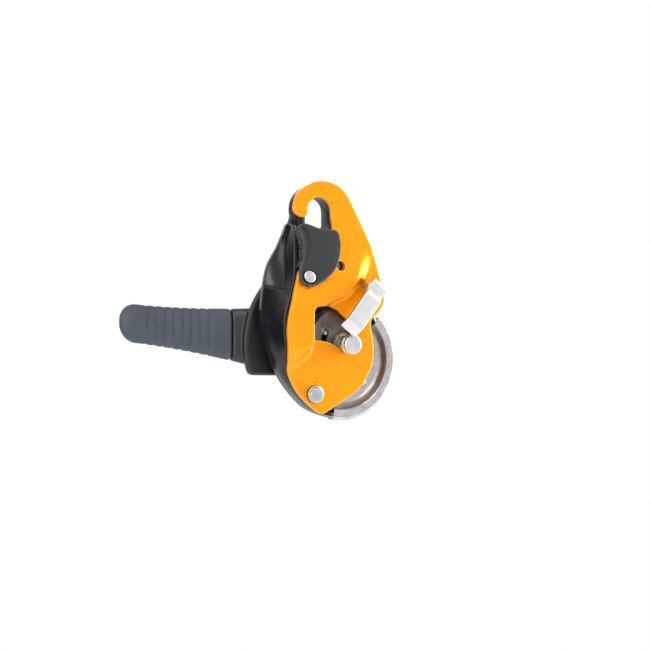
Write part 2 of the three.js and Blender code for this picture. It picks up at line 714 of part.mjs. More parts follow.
/** A round-ended bar that follows the lever's line, thinner by an inset, between two shares of its way. */
function leverBar(from, to, inset) {
  const stations = 12;
  const endShare = 0.1;
  const section = arc(v2(0, 0), 1, 0, 330, 11);
  return sweep(section, stations, (point, i) => {
    const share = to - (to - from) * (1 - i / (stations - 1)) ** 1.5;
    const { centre, halfWidth, halfThick } = leverStation(share);
    const toTip = 0.999 * Math.max(0, 1 - (to - share) / endShare);
    const roundOff = Math.sqrt(1 - toTip * toTip);
    const wide = (halfWidth - inset) * roundOff;
    const thick = (halfThick - inset) * roundOff;
    const squared = (value) => Math.sign(value) * Math.abs(value) ** 0.7;
    const offset = new THREE.Vector3(0, thick * squared(point.y), wide * squared(point.x));
    return offset.add(centre);
  });
}

const GRIP_WALL = 1.8;
const GRIP_START = 0.31; // share of the lever's way where the grip begins

/** Lever: boss round the axle, wide root behind the body, and the core of the grip. */
function handleLever() {
  const boss = bar(AXLE, HUB_RADIUS, LEVER_BACK, LEVER_FRONT, 32);
  const root = slab([
    ...arc(AXLE, FAN_RADIUS, 136, 199.5, 14),
    v2(-6, AXLE.y - 20), v2(AXLE.x, AXLE.y - HUB_RADIUS + 1),
    v2(AXLE.x + 8, AXLE.y), v2(AXLE.x, AXLE.y + HUB_RADIUS - 1), v2(-4, -52),
  ], LEVER_FRONT + 5, LEVER_FRONT);
  const core = leverBar(0, 0.965, GRIP_WALL + GAP);
  const neck = leverBar(0, GRIP_START - 0.01, 0);
  const cutters = [
    bar(AXLE, AXLE_RADIUS + GAP, 40, 0, 24),
    ...HANDLE_SCREWS.map((place) => bar(place, 1.8, 40, 0, 12)),
    ...HANDLE_SCREWS.map((place) => bar(place, 3.6, 40, LEVER_BACK - 3)),
    bar(BUTTON, 6.3, 40, LEVER_FRONT + 2.2),
  ];
  return cutters.reduce((body, cutter) => body.subtract(cutter), boss.add(root).add(core).add(neck));
}

function handleGrip() {
  return leverBar(GRIP_START, 1, 0).subtract(leverBar(GRIP_START - 0.1, 0.98, GRIP_WALL));
}

function handleScrew(place) {
  const seat = LEVER_BACK - 3 + GAP;
  return turned([
    [0, SKIN_BACK + 1.4], [1.5, SKIN_BACK + 1.4], [1.5, seat], [3.2, seat], [3.2, seat + 1.9],
    [2.6, seat + 2.4], [0, seat + 2.4],
  ], place, 18);
}

function axleWasher() {
  return ring(AXLE, AXLE_RADIUS + GAP, 11, 23.6, LEVER_BACK + GAP, 24);
}

function retainingRing() {
  const body = ring(AXLE, 5.95, 8.6, 25, 24.2, 24);
  const mouth = [
    v2(AXLE.x - 2.6, AXLE.y), v2(AXLE.x - 4, AXLE.y - 12),
    v2(AXLE.x + 4, AXLE.y - 12), v2(AXLE.x + 2.6, AXLE.y),
  ];
  return body.subtract(slab(mouth, 30, 20));
}

function releaseButton() {
  return turned([
    [0, 22.8], [4.5, 22.8], [4.5, 21], [6, 21], [6, 25.4], [5.4, 26], [0, 26.3],
  ], BUTTON, 24);
}

function buttonSpring() {
  return coil(3.6, 0.7, 2.5, 1.9).translate([BUTTON.x, LEVER_FRONT + 2.9, BUTTON.y]);
}

// ---------------------------------------------------------------- assembly

const descender = new THREE.Group();

const fixedBody = new THREE.Group();
fixedBody.add(piece('rear_side_plate', BLACK_METAL, rearSidePlate()));
fixedBody.add(piece('side_guard', BLACK_PLASTIC, sideGuard()));
fixedBody.add(piece('friction_plate', STAINLESS, frictionPlate()));
fixedBody.add(piece('main_axle', STEEL, mainAxle()));
fixedBody.add(piece('plate_pivot_axle', STEEL, platePivotAxle()));
fixedBody.add(piece('locking_stud', STEEL, lockingStud()));
fixedBody.add(piece('cam_stop_pin', STEEL, camStopPin()));
fixedBody.add(piece('catch_pin', STEEL, catchPin()));
fixedBody.add(piece('catch_spring', SPRING_STEEL, catchSpring()));
fixedBody.add(piece('cam_spring', SPRING_STEEL, camSpring()));
fixedBody.add(piece('axle_washer', STEEL, axleWasher()));
fixedBody.add(piece('retaining_ring', SPRING_STEEL, retainingRing()));
GUARD_SCREWS.forEach((place, i) => {
  fixedBody.add(piece(`guard_screw_${i + 1}`, STEEL, guardScrew(place)));
});
FRICTION_RIVETS.forEach((place, i) => {
  fixedBody.add(piece(`friction_rivet_${i + 1}`, STEEL, frictionRivet(place)));
});

const swingingPlate = new THREE.Group();
swingingPlate.add(piece('front_side_plate', YELLOW, frontSidePlate()));
swingingPlate.add(piece('pivot_bush', BRONZE, pivotBush()));
swingingPlate.add(piece('auxiliary_brake', STAINLESS, auxiliaryBrake()));
BRAKE_SCREWS.forEach((place, i) => {
  swingingPlate.add(piece(`brake_screw_${i + 1}`, STEEL, brakeScrew(place)));
});
swingingPlate.add(piece('gate_rivet', STEEL, gateRivet()));
swingingPlate.add(piece('gate_spring', SPRING_STEEL, gateSpring()));
swingingPlate.add(piece('gate', GATE_PLASTIC, gate()));

const camGroup = new THREE.Group();
camGroup.add(piece('cam', STEEL, cam()));
camGroup.add(piece('cam_bush', BRONZE, camBush()));

const catchGroup = new THREE.Group();
catchGroup.add(piece('anti_error_catch', STAINLESS, antiErrorCatch()));

const handle = new THREE.Group();
handle.add(piece('handle_hub', STEEL, handleHub()));
handle.add(piece('handle_lever', BLACK_PLASTIC, handleLever()));
handle.add(piece('handle_grip', GRIP_RUBBER, handleGrip()));
HANDLE_SCREWS.forEach((place, i) => {
  handle.add(piece(`handle_screw_${i + 1}`, STEEL, handleScrew(place)));
});
handle.add(piece('button_spring', SPRING_STEEL, buttonSpring()));
handle.add(piece('release_button', BUTTON_PLASTIC, releaseButton()));

descender.add(fixedBody, swingingPlate, camGroup, catchGroup, handle);

export default descender;
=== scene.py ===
"""Finished looks of a self-braking rope descender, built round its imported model.

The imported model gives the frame. Every piece here stands for one CAD node and rides on its body.
Lengths are millimetres in the model's own frame (+X right, +Y back, +Z up) until make_object
turns them into metres.
"""
import json
import math

import bmesh
import bpy
import numpy as np
from mathutils import Matrix, Vector
from mathutils.geometry import delaunay_2d_cdt

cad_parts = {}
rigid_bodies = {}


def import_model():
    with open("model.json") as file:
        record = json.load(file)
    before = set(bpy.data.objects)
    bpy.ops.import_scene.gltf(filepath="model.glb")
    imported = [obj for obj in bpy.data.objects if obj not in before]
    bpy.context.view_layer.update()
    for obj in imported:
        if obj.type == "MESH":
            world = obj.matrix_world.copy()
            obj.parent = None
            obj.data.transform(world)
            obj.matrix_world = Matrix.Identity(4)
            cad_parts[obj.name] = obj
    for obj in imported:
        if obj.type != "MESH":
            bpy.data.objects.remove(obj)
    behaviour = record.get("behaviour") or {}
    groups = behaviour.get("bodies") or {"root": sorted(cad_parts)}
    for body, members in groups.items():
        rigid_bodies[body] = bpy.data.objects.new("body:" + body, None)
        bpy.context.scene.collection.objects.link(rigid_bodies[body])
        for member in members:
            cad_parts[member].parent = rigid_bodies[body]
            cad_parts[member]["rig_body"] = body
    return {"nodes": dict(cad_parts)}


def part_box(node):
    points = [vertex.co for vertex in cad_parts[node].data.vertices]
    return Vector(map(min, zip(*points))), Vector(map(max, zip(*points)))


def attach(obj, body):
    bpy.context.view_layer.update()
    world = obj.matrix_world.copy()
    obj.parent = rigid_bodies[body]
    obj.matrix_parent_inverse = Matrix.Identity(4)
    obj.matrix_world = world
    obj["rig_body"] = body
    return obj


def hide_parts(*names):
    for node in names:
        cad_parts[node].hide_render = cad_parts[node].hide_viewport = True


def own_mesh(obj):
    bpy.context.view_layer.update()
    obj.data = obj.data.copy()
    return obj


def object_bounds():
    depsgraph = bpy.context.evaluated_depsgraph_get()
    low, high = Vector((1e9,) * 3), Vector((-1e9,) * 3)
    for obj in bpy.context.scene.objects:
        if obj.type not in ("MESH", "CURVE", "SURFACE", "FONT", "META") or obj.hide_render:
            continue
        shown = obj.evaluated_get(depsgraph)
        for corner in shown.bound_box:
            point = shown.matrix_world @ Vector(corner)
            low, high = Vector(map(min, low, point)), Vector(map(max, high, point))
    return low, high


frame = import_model()
cad_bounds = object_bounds()

MM = 0.001


def box_mm(node):
    """Lowest and highest corner of a CAD node, in millimetres."""
    low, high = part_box(node)
    return np.array(low) / MM, np.array(high) / MM


def axis_of(node):
    """X and Z of a round node's axis, in millimetres."""
    low, high = box_mm(node)
    middle = (low + high) / 2
    return np.array([middle[0], middle[2]])


# ------------------------------------------------------------ driving dimensions

AXLE = axis_of("main_axle")
PIVOT = axis_of("plate_pivot_axle")
STUD = axis_of("locking_stud")
CATCH_PIN = axis_of("catch_pin")
BUTTON = axis_of("release_button")
GUARD_SCREWS = [axis_of(f"guard_screw_{i}") for i in (1, 2, 3, 4)]
FRICTION_RIVETS = [axis_of(f"friction_rivet_{i}") for i in (1, 2, 3)]
HANDLE_SCREWS = [axis_of(f"handle_screw_{i}") for i in (1, 2)]
BRAKE_SCREWS = [axis_of(f"brake_screw_{i}") for i in (1, 2)]

GAP = 0.3
PLATE = 3.0
SKIN_BACK = 10.6
REAR_FRONT = 5.0
REAR_BACK = REAR_FRONT + PLATE
LUG_FRONT = -3.0

HOOK_LEVEL = 6.3  # levels are distances in front of the eye's centre
BASE_LEVEL = 12.0
BULGE_LEVEL = 20.0
FRONT_SLOPE = 0.24
BULGE_TOP = -57.0
BULGE_FOOT = -82.0
BULGE_FALL = 24.0
SWING_GAP = 1.2
WIDEST_LEVEL = 4.0

EYE_TOP = np.array([0.0, -1.0])
EYE_FOOT = np.array([0.0, -9.0])
EYE_RADIUS = 8.3
LUG_CENTRE = np.array([0.6, 0.0])
LUG_RADIUS = 15.4

RIM = np.array([19.0, -94.0])
RIM_RADIUS = 38.9
RIM_START = 44.0
RIM_END = -101.0

WALL = 2.4
GATE_THICK = 3.4
GATE_HEEL = 0.9
GATE_RIVET = np.array([-14.2, -16.8, -43.7])
GATE_TILT = -math.atan(FRONT_SLOPE)
GATE_SEAT = 6.4

BRAKE_START = (BRAKE_SCREWS[0] + BRAKE_SCREWS[1]) / 2
BRAKE_WIDTH = 12.5
BRAKE_BEARING = math.radians(232)  # direction that the brake reaches in, from +X

HUB_RADIUS = 21.0
LEVER_FRONT = 14.5
LEVER_BACK = 22.0
FAN_RADIUS = 58.0
LEVER_ROOT = np.array([-18.0, 18.9, -82.0])
LEVER_TIP = np.array([-113.0, 46.0, -70.5])
GRIP_WALL = 1.8
GRIP_START = 0.31

SCREW_BORE = 1.8
AXLE_BORE = 6.8


# ------------------------------------------------------------ lines and outlines

def direction(degrees):
    """Unit vector in X and Z."""
    return np.array([math.cos(math.radians(degrees)), math.sin(math.radians(degrees))])


def ring_at(centre, degrees, radii, levels):
    """Points at radii from a centre in one direction, each at its own Y."""
    outward = direction(degrees)
    return np.column_stack([centre[0] + radii * outward[0], levels, centre[1] + radii * outward[1]])


def arc(centre, radius, start, stop, step=0.5):
    """Points of an arc in X and Z, from one angle to another in degrees."""
    count = max(4, math.ceil(abs(math.radians(stop - start)) * radius / step))
    angles = np.radians(np.linspace(start, stop, count + 1))
    return centre + radius * np.column_stack([np.cos(angles), np.sin(angles)])


def circle(centre, radius, step=0.35):
    return arc(centre, radius, 0, 360, step)[:-1]


def resample(line, step=None, count=None, closed=False):
    """The same line with evenly spread points."""
    line = np.asarray(line, float)
    if closed:
        line = np.vstack([line, line[:1]])
    along = np.concatenate([[0], np.cumsum(np.linalg.norm(np.diff(line, axis=0), axis=1))])
    if count is None:
        count = max(3, round(along[-1] / step))
    stations = np.linspace(0, along[-1], count + 1)
    points = np.column_stack([np.interp(stations, along, column) for column in line.T])
    return points[:-1] if closed else points


def smooth_line(points, step=0.6, count=None):
    """A smooth curve through the points given."""
    points = np.asarray(points, float)
    padded = np.vstack([points[:1], points, points[-1:]])
    t = np.linspace(0, 1, 24, endpoint=False)[:, None]
    runs = []
    for before, start, end, after in zip(padded, padded[1:], padded[2:], padded[3:]):
        leave = (end - before) / 2
        arrive = (after - start) / 2
        cubic = 2 * start - 2 * end + leave + arrive
        square = -3 * start + 3 * end - 2 * leave - arrive
        runs.append(cubic * t**3 + square * t**2 + leave * t + start)
    return resample(np.vstack(runs + [points[-1:]]), step, count)


def offset_line(points, distance):
    """The line moved sideways, to the left of its direction."""
    along = np.gradient(points, axis=0)
    along /= np.linalg.norm(along, axis=1)[:, None]
    return points + distance * np.column_stack([-along[:, 1], along[:, 0]])


def soften(outline, radius, step=0.45):
    """A closed outline with its corners rounded by about a radius."""
    points = resample(outline, step, closed=True)
    reach = max(1, round(radius / step))
    for _ in range(3):
        shifted = [np.roll(points, shift, axis=0) for shift in range(-reach, reach + 1)]
        points = sum(shifted) / len(shifted)
    return points


def turn_left(loop, wanted):
    """The loop in the direction wanted: +1 is anticlockwise."""
    x, z = loop.T
    area = np.sum(x * np.roll(z, -1) - np.roll(x, -1) * z)
    return loop if area * wanted > 0 else loop[::-1]


def segments_of(loops):
    starts = np.vstack(loops)
    ends = np.vstack([np.roll(loop, -1, axis=0) for loop in loops])
    return starts, ends


def in_chunks(points, measure, size=4000):
    return np.concatenate([measure(points[i:i + size]) for i in range(0, len(points), size)])


def distance_to(points, starts, ends):
    """Distance of each point to the nearest of many segments."""
    along = ends - starts
    length = np.maximum((along**2).sum(1), 1e-12)

    def measure(some):
        offset = some[:, None, :] - starts[None]
        share = np.clip((offset * along).sum(2) / length, 0, 1)
        return np.sqrt(((offset - share[..., None] * along) ** 2).sum(2)).min(1)

    return in_chunks(points, measure)


def is_inside(points, starts, ends):
    """Even-odd test of points against closed loops."""
    rise = ends[:, 1] - starts[:, 1]
    rise = np.where(np.abs(rise) < 1e-12, 1e-12, rise)

    def measure(some):
        x = some[:, :1]
        z = some[:, 1:]
        spans = (starts[:, 1] > z) != (ends[:, 1] > z)
        crossing = starts[:, 0] + (z - starts[:, 1]) * (ends[:, 0] - starts[:, 0]) / rise
        return ((x < crossing) & spans).sum(1) % 2 == 1

    return in_chunks(points, measure)


def smoothstep(t):
    t = np.clip(t, 0, 1)
    return t * t * (3 - 2 * t)


# ------------------------------------------------------------ mesh builders

def make_object(name, vertices, faces, origin=(0, 0, 0), edge=None):
    """A smooth-shaded object from millimetre vertices, with its origin where it is asked for."""
    origin = np.asarray(origin, float)
    mesh = bpy.data.meshes.new(name)
    scaled = (np.asarray(vertices, float) - origin) * MM
    mesh.from_pydata(scaled.tolist(), [], faces)
    if edge is not None:
        attribute = mesh.attributes.new("edge", "FLOAT", "POINT")
        attribute.data.foreach_set("value", np.asarray(edge, np.float32))
    shell = bmesh.new()
    shell.from_mesh(mesh)
    bmesh.ops.recalc_face_normals(shell, faces=shell.faces)
    shell.to_mesh(mesh)
    shell.free()
    mesh.polygons.foreach_set("use_smooth", [True] * len(mesh.polygons))
    piece = bpy.data.objects.new(name, mesh)
    piece.location = Vector(origin * MM)
    bpy.context.scene.collection.objects.link(piece)
    return piece


EDGE_SHARES = (0.03, 0.12, 0.27, 0.48, 0.72, 1.0)  # insets that follow a quarter round


def upright(points):
    return points


def soft_plate(name, loops, front, back, edge=0.6, cell=1.1, place=upright, extra=None):
    """A plate with rounded edges between two level functions, with holes.

    The loops hold X and Z; `front` and `back` give Y at points; `place` moves the finished points.
    """
    loops = [turn_left(loop, 1 if i == 0 else -1) for i, loop in enumerate(loops)]
    starts, ends = segments_of(loops)
    clouds = []
    for share in EDGE_SHARES:
        rounds = [np.vstack([loop[-1:], loop, loop[:1]]) for loop in loops]
        inset = np.vstack([offset_line(line, share * edge)[1:-1] for line in rounds])
        away = distance_to(inset, starts, ends)
        clouds.append(inset[away > 0.9 * share * edge])
    low = starts.min(0)
    high = starts.max(0)
    columns = np.arange(low[0], high[0], cell)
    rows = np.arange(low[1], high[1], cell * 0.87)
    grid = np.array([(x + cell / 2 * (j % 2), z) for j, z in enumerate(rows) for x in columns])
    clouds.append(grid[distance_to(grid, starts, ends) > edge + cell * 0.45])
    if extra is not None:
        clouds.append(extra[distance_to(extra, starts, ends) > edge])
    cloud = np.vstack(clouds)
    cloud = cloud[is_inside(cloud, starts, ends)]
    rim_edges = []
    first = 0
    for loop in loops:
        count = len(loop)
        rim_edges += [(first + i, first + (i + 1) % count) for i in range(count)]
        first += count
    points = [Vector(p) for p in np.vstack([starts, cloud])]
    found, _, triangles, *_ = delaunay_2d_cdt(points, rim_edges, [], 0, 1e-5)
    flat = np.array([tuple(p) for p in found])
    triangles = np.array([tuple(t) for t in triangles])
    triangles = triangles[is_inside(flat[triangles].mean(1), starts, ends)]
    a, b, c = (flat[triangles[:, k]] for k in range(3))
    turn = (b[:, 0] - a[:, 0]) * (c[:, 1] - a[:, 1]) - (c[:, 0] - a[:, 0]) * (b[:, 1] - a[:, 1])
    triangles[turn < 0] = triangles[turn < 0][:, ::-1]
    away = distance_to(flat, starts, ends)

    def drop(radius):
        return radius - np.sqrt(np.maximum(radius**2 - np.maximum(radius - away, 0) ** 2, 0))

    front_y = front(flat) + drop(edge)
    back_y = back(flat) - drop(edge)
    count = len(flat)
    vertices = np.vstack([
        np.column_stack([flat[:, 0], front_y, flat[:, 1]]),
        np.column_stack([flat[:, 0], back_y, flat[:, 1]]),
    ])
    sides = {}
    for p, q, r in triangles.tolist():
        for pair in ((p, q), (q, r), (r, p)):
            if pair[::-1] in sides:
                del sides[pair[::-1]]
            else:
                sides[pair] = True
    faces = triangles.tolist()
    faces += [[count + r, count + q, count + p] for p, q, r in triangles.tolist()]
    faces += [[q, p, count + p, count + q] for p, q in sides]
    # Edge mask, 1 at the rim: materials lighten edges with it, as wear on the metals and as a painted
    # highlight on the gate's plastic
    edge_wear_and_highlight = 1 - smoothstep(away / (2.2 * edge))
    return make_object(name, place(vertices), faces, edge=np.concatenate([edge_wear_and_highlight, edge_wear_and_highlight]))


def level(y):
    """A level function that is the same everywhere."""
    return lambda points: np.full(len(points), float(y))


def loft(name, rings, closed=False, origin=(0, 0, 0)):
    """A closed body through rings of points; open lofts get a cap at each end."""
    rings = np.asarray(rings, float)
    stations, around, _ = rings.shape
    faces = []
    for i in range(stations if closed else stations - 1):
        a = i * around
        b = ((i + 1) % stations) * around
        faces += [[a + j, a + (j + 1) % around, b + (j + 1) % around, b + j] for j in range(around)]
    if not closed:
        last = (stations - 1) * around
        faces.append(list(range(around))[::-1])
        faces.append([last + j for j in range(around)])
    return make_object(name, rings.reshape(-1, 3), faces, origin)


def filleted(profile, radius, closed=False, steps=5):
    """The profile with each corner rounded, by no more than its neighbours allow."""
    profile = np.asarray(profile, float)
    count = len(profile)
    result = []
    for i, corner in enumerate(profile):
        if not closed and i in (0, count - 1):
            result.append(corner)
            continue
        before = profile[i - 1] - corner
        after = profile[(i + 1) % count] - corner
        reach = min(radius, 0.45 * np.linalg.norm(before), 0.45 * np.linalg.norm(after))
        start = corner + before / np.linalg.norm(before) * reach
        end = corner + after / np.linalg.norm(after) * reach
        for t in np.linspace(0, 1, steps):
            result.append((1 - t) ** 2 * start + 2 * t * (1 - t) * corner + t**2 * end)
    return np.array(result)


def dense(profile, step):
    """The profile with long straight runs divided, so that shading stays even."""
    result = [profile[0]]
    for start, end in zip(profile, profile[1:]):
        parts = max(1, math.ceil(np.linalg.norm(end - start) / step))
        result += [start + (end - start) * k / parts for k in range(1, parts + 1)]
    return np.array(result)


def lathe(name, profile, centre, fillet=0.3, segments=96, ring=False, hexagon_below=None):
    """A turned piece about an axis along Y. The profile holds radius and Y.

    Radii below `hexagon_below` are drawn as a hexagon, for a screw's socket.
    """
    outline = filleted(profile, fillet, closed=ring)
    outline = dense(np.vstack([outline, outline[:1]]) if ring else outline, 0.8)
    outline = outline[:-1] if ring else outline
    angles = 2 * math.pi * np.arange(segments) / segments
    sixth = math.pi / 3
    hexagon = 1 / np.cos((angles + sixth / 2) % sixth - sixth / 2)
    vertices = []
    rings = []
    for radius, y in outline:
        if radius < 1e-6:
            rings.append([len(vertices)] * segments)
            vertices.append((centre[0], y, centre[1]))
            continue
        reach = radius * hexagon if hexagon_below and radius < hexagon_below else np.full(segments, radius)
        rings.append(list(range(len(vertices), len(vertices) + segments)))
        vertices += [
            (centre[0] + r * math.cos(t), y, centre[1] + r * math.sin(t)) for r, t in zip(reach, angles)
        ]
    faces = []
    pairs = list(zip(rings, rings[1:] + rings[:1])) if ring else list(zip(rings, rings[1:]))
    for inner, outer in pairs:
        for j in range(segments):
            k = (j + 1) % segments
            corners = [inner[j], inner[k], outer[k], outer[j]]
            faces.append([p for n, p in enumerate(corners) if p not in corners[:n]])
    middle = (outline[:, 1].min() + outline[:, 1].max()) / 2
    return make_object(name, vertices, faces, origin=(centre[0], middle, centre[1]))


def coil(name, start, radius, wire, turns, pitch, place=upright):
    """A closed-end coil along +Y from a start point."""
    stations = round(turns * 40)
    section = 2 * math.pi * np.arange(12) / 12
    rings = []
    for i in range(stations + 1):
        angle = 2 * math.pi * turns * i / stations
        outward = np.array([math.cos(angle), 0, math.sin(angle)])
        middle = np.array(start) + radius * outward + np.array([0, pitch * turns * i / stations, 0])
        upward = np.array([0, 1, 0])
        rings.append([middle + wire / 2 * (math.cos(s) * outward + math.sin(s) * upward) for s in section])
    return loft(name, place(np.array(rings).reshape(-1, 3)).reshape(stations + 1, 12, 3))


def apply_modifiers(piece):
    """Replaces the piece's mesh with what its modifiers make of it."""
    bpy.context.view_layer.update()
    graph = bpy.context.evaluated_depsgraph_get()
    mesh = bpy.data.meshes.new_from_object(piece.evaluated_get(graph))
    piece.modifiers.clear()
    piece.data = mesh
    mesh.polygons.foreach_set("use_smooth", [True] * len(mesh.polygons))


def join(first, *others):
    """One object from several that share an origin."""
    merged = bmesh.new()
    for piece in (first, *others):
        merged.from_mesh(piece.data)
    merged.to_mesh(first.data)
    merged.free()
    for piece in others:
        bpy.data.objects.remove(piece)
    first.data.polygons.foreach_set("use_smooth", [True] * len(first.data.polygons))
    return first


def cut(piece, cutters):
    """Takes the cutters' shapes out of the piece, and the cutters out of the scene."""
    for cutter in cutters:
        boolean = piece.modifiers.new("cut", "BOOLEAN")
        boolean.operation = "DIFFERENCE"
        boolean.object = cutter
        boolean.solver = "EXACT"
    apply_modifiers(piece)
    for cutter in cutters:
        bpy.data.objects.remove(cutter)


def with_plain_origin(piece):
    """Moves a piece's own origin to the model's, with its shape left where it is."""
    piece.data.transform(Matrix.Translation(piece.location))
    piece.location = (0, 0, 0)
    return piece


# ------------------------------------------------------------ materials

class Nodes:
    """A short way to write the nodes of a material or of the world."""

    def __init__(self, owner, shader="Principled BSDF"):
        owner.use_nodes = True
        self.owner = owner
        self.tree = owner.node_tree
        self.shader = self.tree.nodes[shader]

    def add(self, kind, **settings):
        node = self.tree.nodes.new(kind)
        for key, value in settings.items():
            if key in node.inputs:
                node.inputs[key].default_value = value
            else:
                setattr(node, key, value)
        return node

    def link(self, output, target):
        self.tree.links.new(output, target)

    def set(self, **values):
        for key, value in values.items():
            self.shader.inputs[key.replace("_", " ")].default_value = value

    def math(self, operation, first, second=None):
        node = self.add("ShaderNodeMath", operation=operation)
        for socket, value in zip(node.inputs, (first, second)):
            if isinstance(value, bpy.types.NodeSocket):
                self.link(value, socket)
            elif value is not None:
                socket.default_value = value
        return node.outputs[0]

    def coordinates(self):
        return self.add("ShaderNodeTexCoord").outputs["Object"]

    def noise(self, vector, scale, detail=2.0, roughness=0.5):
        node = self.add("ShaderNodeTexNoise", Scale=scale, Detail=detail, Roughness=roughness)
        self.link(vector, node.inputs["Vector"])
        return node.outputs["Fac"]

    def remap(self, value, from_low, from_high, to_low, to_high, **settings):
        node = self.add("ShaderNodeMapRange", **settings)
        ends = {"From Min": from_low, "From Max": from_high, "To Min": to_low, "To Max": to_high}
        for name, end in ends.items():
            node.inputs[name].default_value = end
        self.link(value, node.inputs["Value"])
        return node.outputs["Result"]

    def spread(self, value, low, high):
        """The value, which runs about 0.3 to 0.7, spread between two numbers."""
        return self.remap(value, 0.3, 0.7, low, high)

    def cloud(self, vector, scale, detail, low=0, high=1):
        return self.spread(self.noise(vector, scale, detail), low, high)

    def mix(self, factor, first, second):
        """Between two colors, of which the first may be another node's."""
        node = self.add("ShaderNodeMix", data_type="RGBA")
        self.link(factor, node.inputs[0])
        if isinstance(first, bpy.types.NodeSocket):
            self.link(first, node.inputs[6])
        else:
            node.inputs[6].default_value = (*first, 1)
        node.inputs[7].default_value = (*second, 1)
        return node.outputs[2]

    def edge(self):
        return self.add("ShaderNodeAttribute", attribute_name="edge").outputs["Fac"]

    def bump(self, height, distance, strength=1.0, under=None):
        node = self.add("ShaderNodeBump", Distance=distance, Strength=strength)
        self.link(height, node.inputs["Height"])
        if under is not None:
            self.link(under, node.inputs["Normal"])
        return node.outputs["Normal"]

    def finish(self, color=None, roughness=None, normal=None):
        for socket, name in ((color, "Base Color"), (roughness, "Roughness"), (normal, "Normal")):
            if socket is not None:
                self.link(socket, self.shader.inputs[name])
        return self.owner


def material_nodes(name):
    return Nodes(bpy.data.materials.new(name))


def painted_yellow():
    """Satin lacquer on pressed aluminium, a little paler where its edges are rubbed."""
    nodes = material_nodes("yellow_lacquer")
    nodes.set(Metallic=0.5, Coat_Weight=0.3, Coat_Roughness=0.2, Specular_IOR_Level=0.08)
    where = nodes.coordinates()
    cloud = nodes.noise(where, 42, 3)
    color = nodes.mix(nodes.spread(cloud, 0, 1), (0.83, 0.272, 0.0), (0.87, 0.3, 0.0))
    rubbed_and_lit_edge = nodes.math("MULTIPLY", nodes.edge(), nodes.cloud(where, 260, 4, 0.0, 0.3))
    color = nodes.mix(rubbed_and_lit_edge, color, (1.0, 0.52, 0.08))
    peel = nodes.bump(nodes.noise(where, 1300, 2), 0.00003, 0.35)
    roughness = nodes.cloud(where, 380, 4, 0.3, 0.44)
    return nodes.finish(color, roughness, peel)


def black_anodised():
    """Forged aluminium, black anodised."""
    nodes = material_nodes("black_anodised")
    nodes.set(Metallic=0.55, Specular_IOR_Level=0.5)
    where = nodes.coordinates()
    cloud = nodes.cloud(where, 90, 4)
    color = nodes.mix(cloud, (0.008, 0.008, 0.01), (0.018, 0.018, 0.021))
    rubbed_and_lit_edge = nodes.math("MULTIPLY", nodes.edge(), nodes.cloud(where, 300, 4, 0.0, 0.35))
    color = nodes.mix(rubbed_and_lit_edge, color, (0.2, 0.2, 0.21))
    grain = nodes.bump(nodes.noise(where, 2200, 2), 0.00002, 0.4)
    return nodes.finish(color, nodes.cloud(where, 500, 3, 0.32, 0.46), grain)


def moulded_plastic(name, dark, light, smooth, rough, grain_size, grain_depth, gloss=0.5, edge_wear_and_highlight=0.0):
    """Moulded plastic with its fine spark-eroded grain; its last argument sets how much the edges are
    lightened, a painted highlight.
    """
    nodes = material_nodes(name)
    nodes.set(Metallic=0.0, Specular_IOR_Level=gloss)
    where = nodes.coordinates()
    color = nodes.mix(nodes.cloud(where, 60, 3), dark, light)
    # Lighter patches along the edges: a painted highlight, standing in for light on the gate's ribbed side;
    # none unless asked for
    patches = nodes.cloud(where, 300, 4, 0.2 * edge_wear_and_highlight, edge_wear_and_highlight)
    rubbed_and_lit_edge = nodes.math("MULTIPLY", nodes.edge(), patches)
    color = nodes.mix(rubbed_and_lit_edge, color, (0.16, 0.163, 0.17))
    grain = nodes.bump(nodes.noise(where, 1 / grain_size, 3, 0.6), grain_depth, 0.6)
    return nodes.finish(color, nodes.cloud(where, 700, 3, smooth, rough), grain)


def turned_steel(name, dark, light, smooth, rough):
    """Steel with fine rings from the lathe, about the object's own Y axis."""
    nodes = material_nodes(name)
    nodes.set(Metallic=1.0)
    where = nodes.coordinates()
    parts = nodes.add("ShaderNodeSeparateXYZ")
    nodes.link(where, parts.inputs[0])
    x, y, z = parts.outputs
    squares = nodes.math("ADD", nodes.math("MULTIPLY", x, x), nodes.math("MULTIPLY", z, z))
    reach = nodes.math("SQRT", squares)
    turn = nodes.math("ARCTAN2", z, x)
    rings = nodes.add("ShaderNodeCombineXYZ")
    nodes.link(reach, rings.inputs[0])
    nodes.link(nodes.math("MULTIPLY", turn, 0.00035), rings.inputs[1])
    nodes.link(y, rings.inputs[2])
    lines = nodes.noise(rings.outputs[0], 4200, 4, 0.65)
    cloud = nodes.noise(where, 220, 4)
    color = nodes.mix(nodes.spread(cloud, 0, 1), dark, light)
    cut = nodes.bump(lines, 0.00002, 0.5)
    rough_map = nodes.spread(nodes.math("MULTIPLY", nodes.math("ADD", lines, cloud), 0.5), smooth, rough)
    return nodes.finish(color, rough_map, cut)


def blasted_stainless():
    """Bead-blasted stainless, with edges that are rubbed bright."""
    nodes = material_nodes("blasted_stainless")
    nodes.set(Metallic=1.0)
    where = nodes.coordinates()
    cloud = nodes.cloud(where, 160, 4)
    color = nodes.mix(cloud, (0.40, 0.40, 0.41), (0.50, 0.50, 0.51))
    color = nodes.mix(nodes.edge(), color, (0.66, 0.66, 0.67))
    blasted = nodes.bump(nodes.noise(where, 3600, 2, 0.7), 0.00003, 0.5)
    marks = nodes.bump(nodes.noise(where, 240, 5, 0.6), 0.00006, 0.25, under=blasted)
    return nodes.finish(color, nodes.cloud(where, 600, 4, 0.3, 0.42), marks)


def plain_metal(name, dark, light, smooth, rough):
    nodes = material_nodes(name)
    nodes.set(Metallic=1.0)
    where = nodes.coordinates()
    color = nodes.mix(nodes.cloud(where, 300, 4), dark, light)
    drawn = nodes.bump(nodes.noise(where, 2600, 3), 0.00002, 0.4)
    return nodes.finish(color, nodes.cloud(where, 900, 3, smooth, rough), drawn)


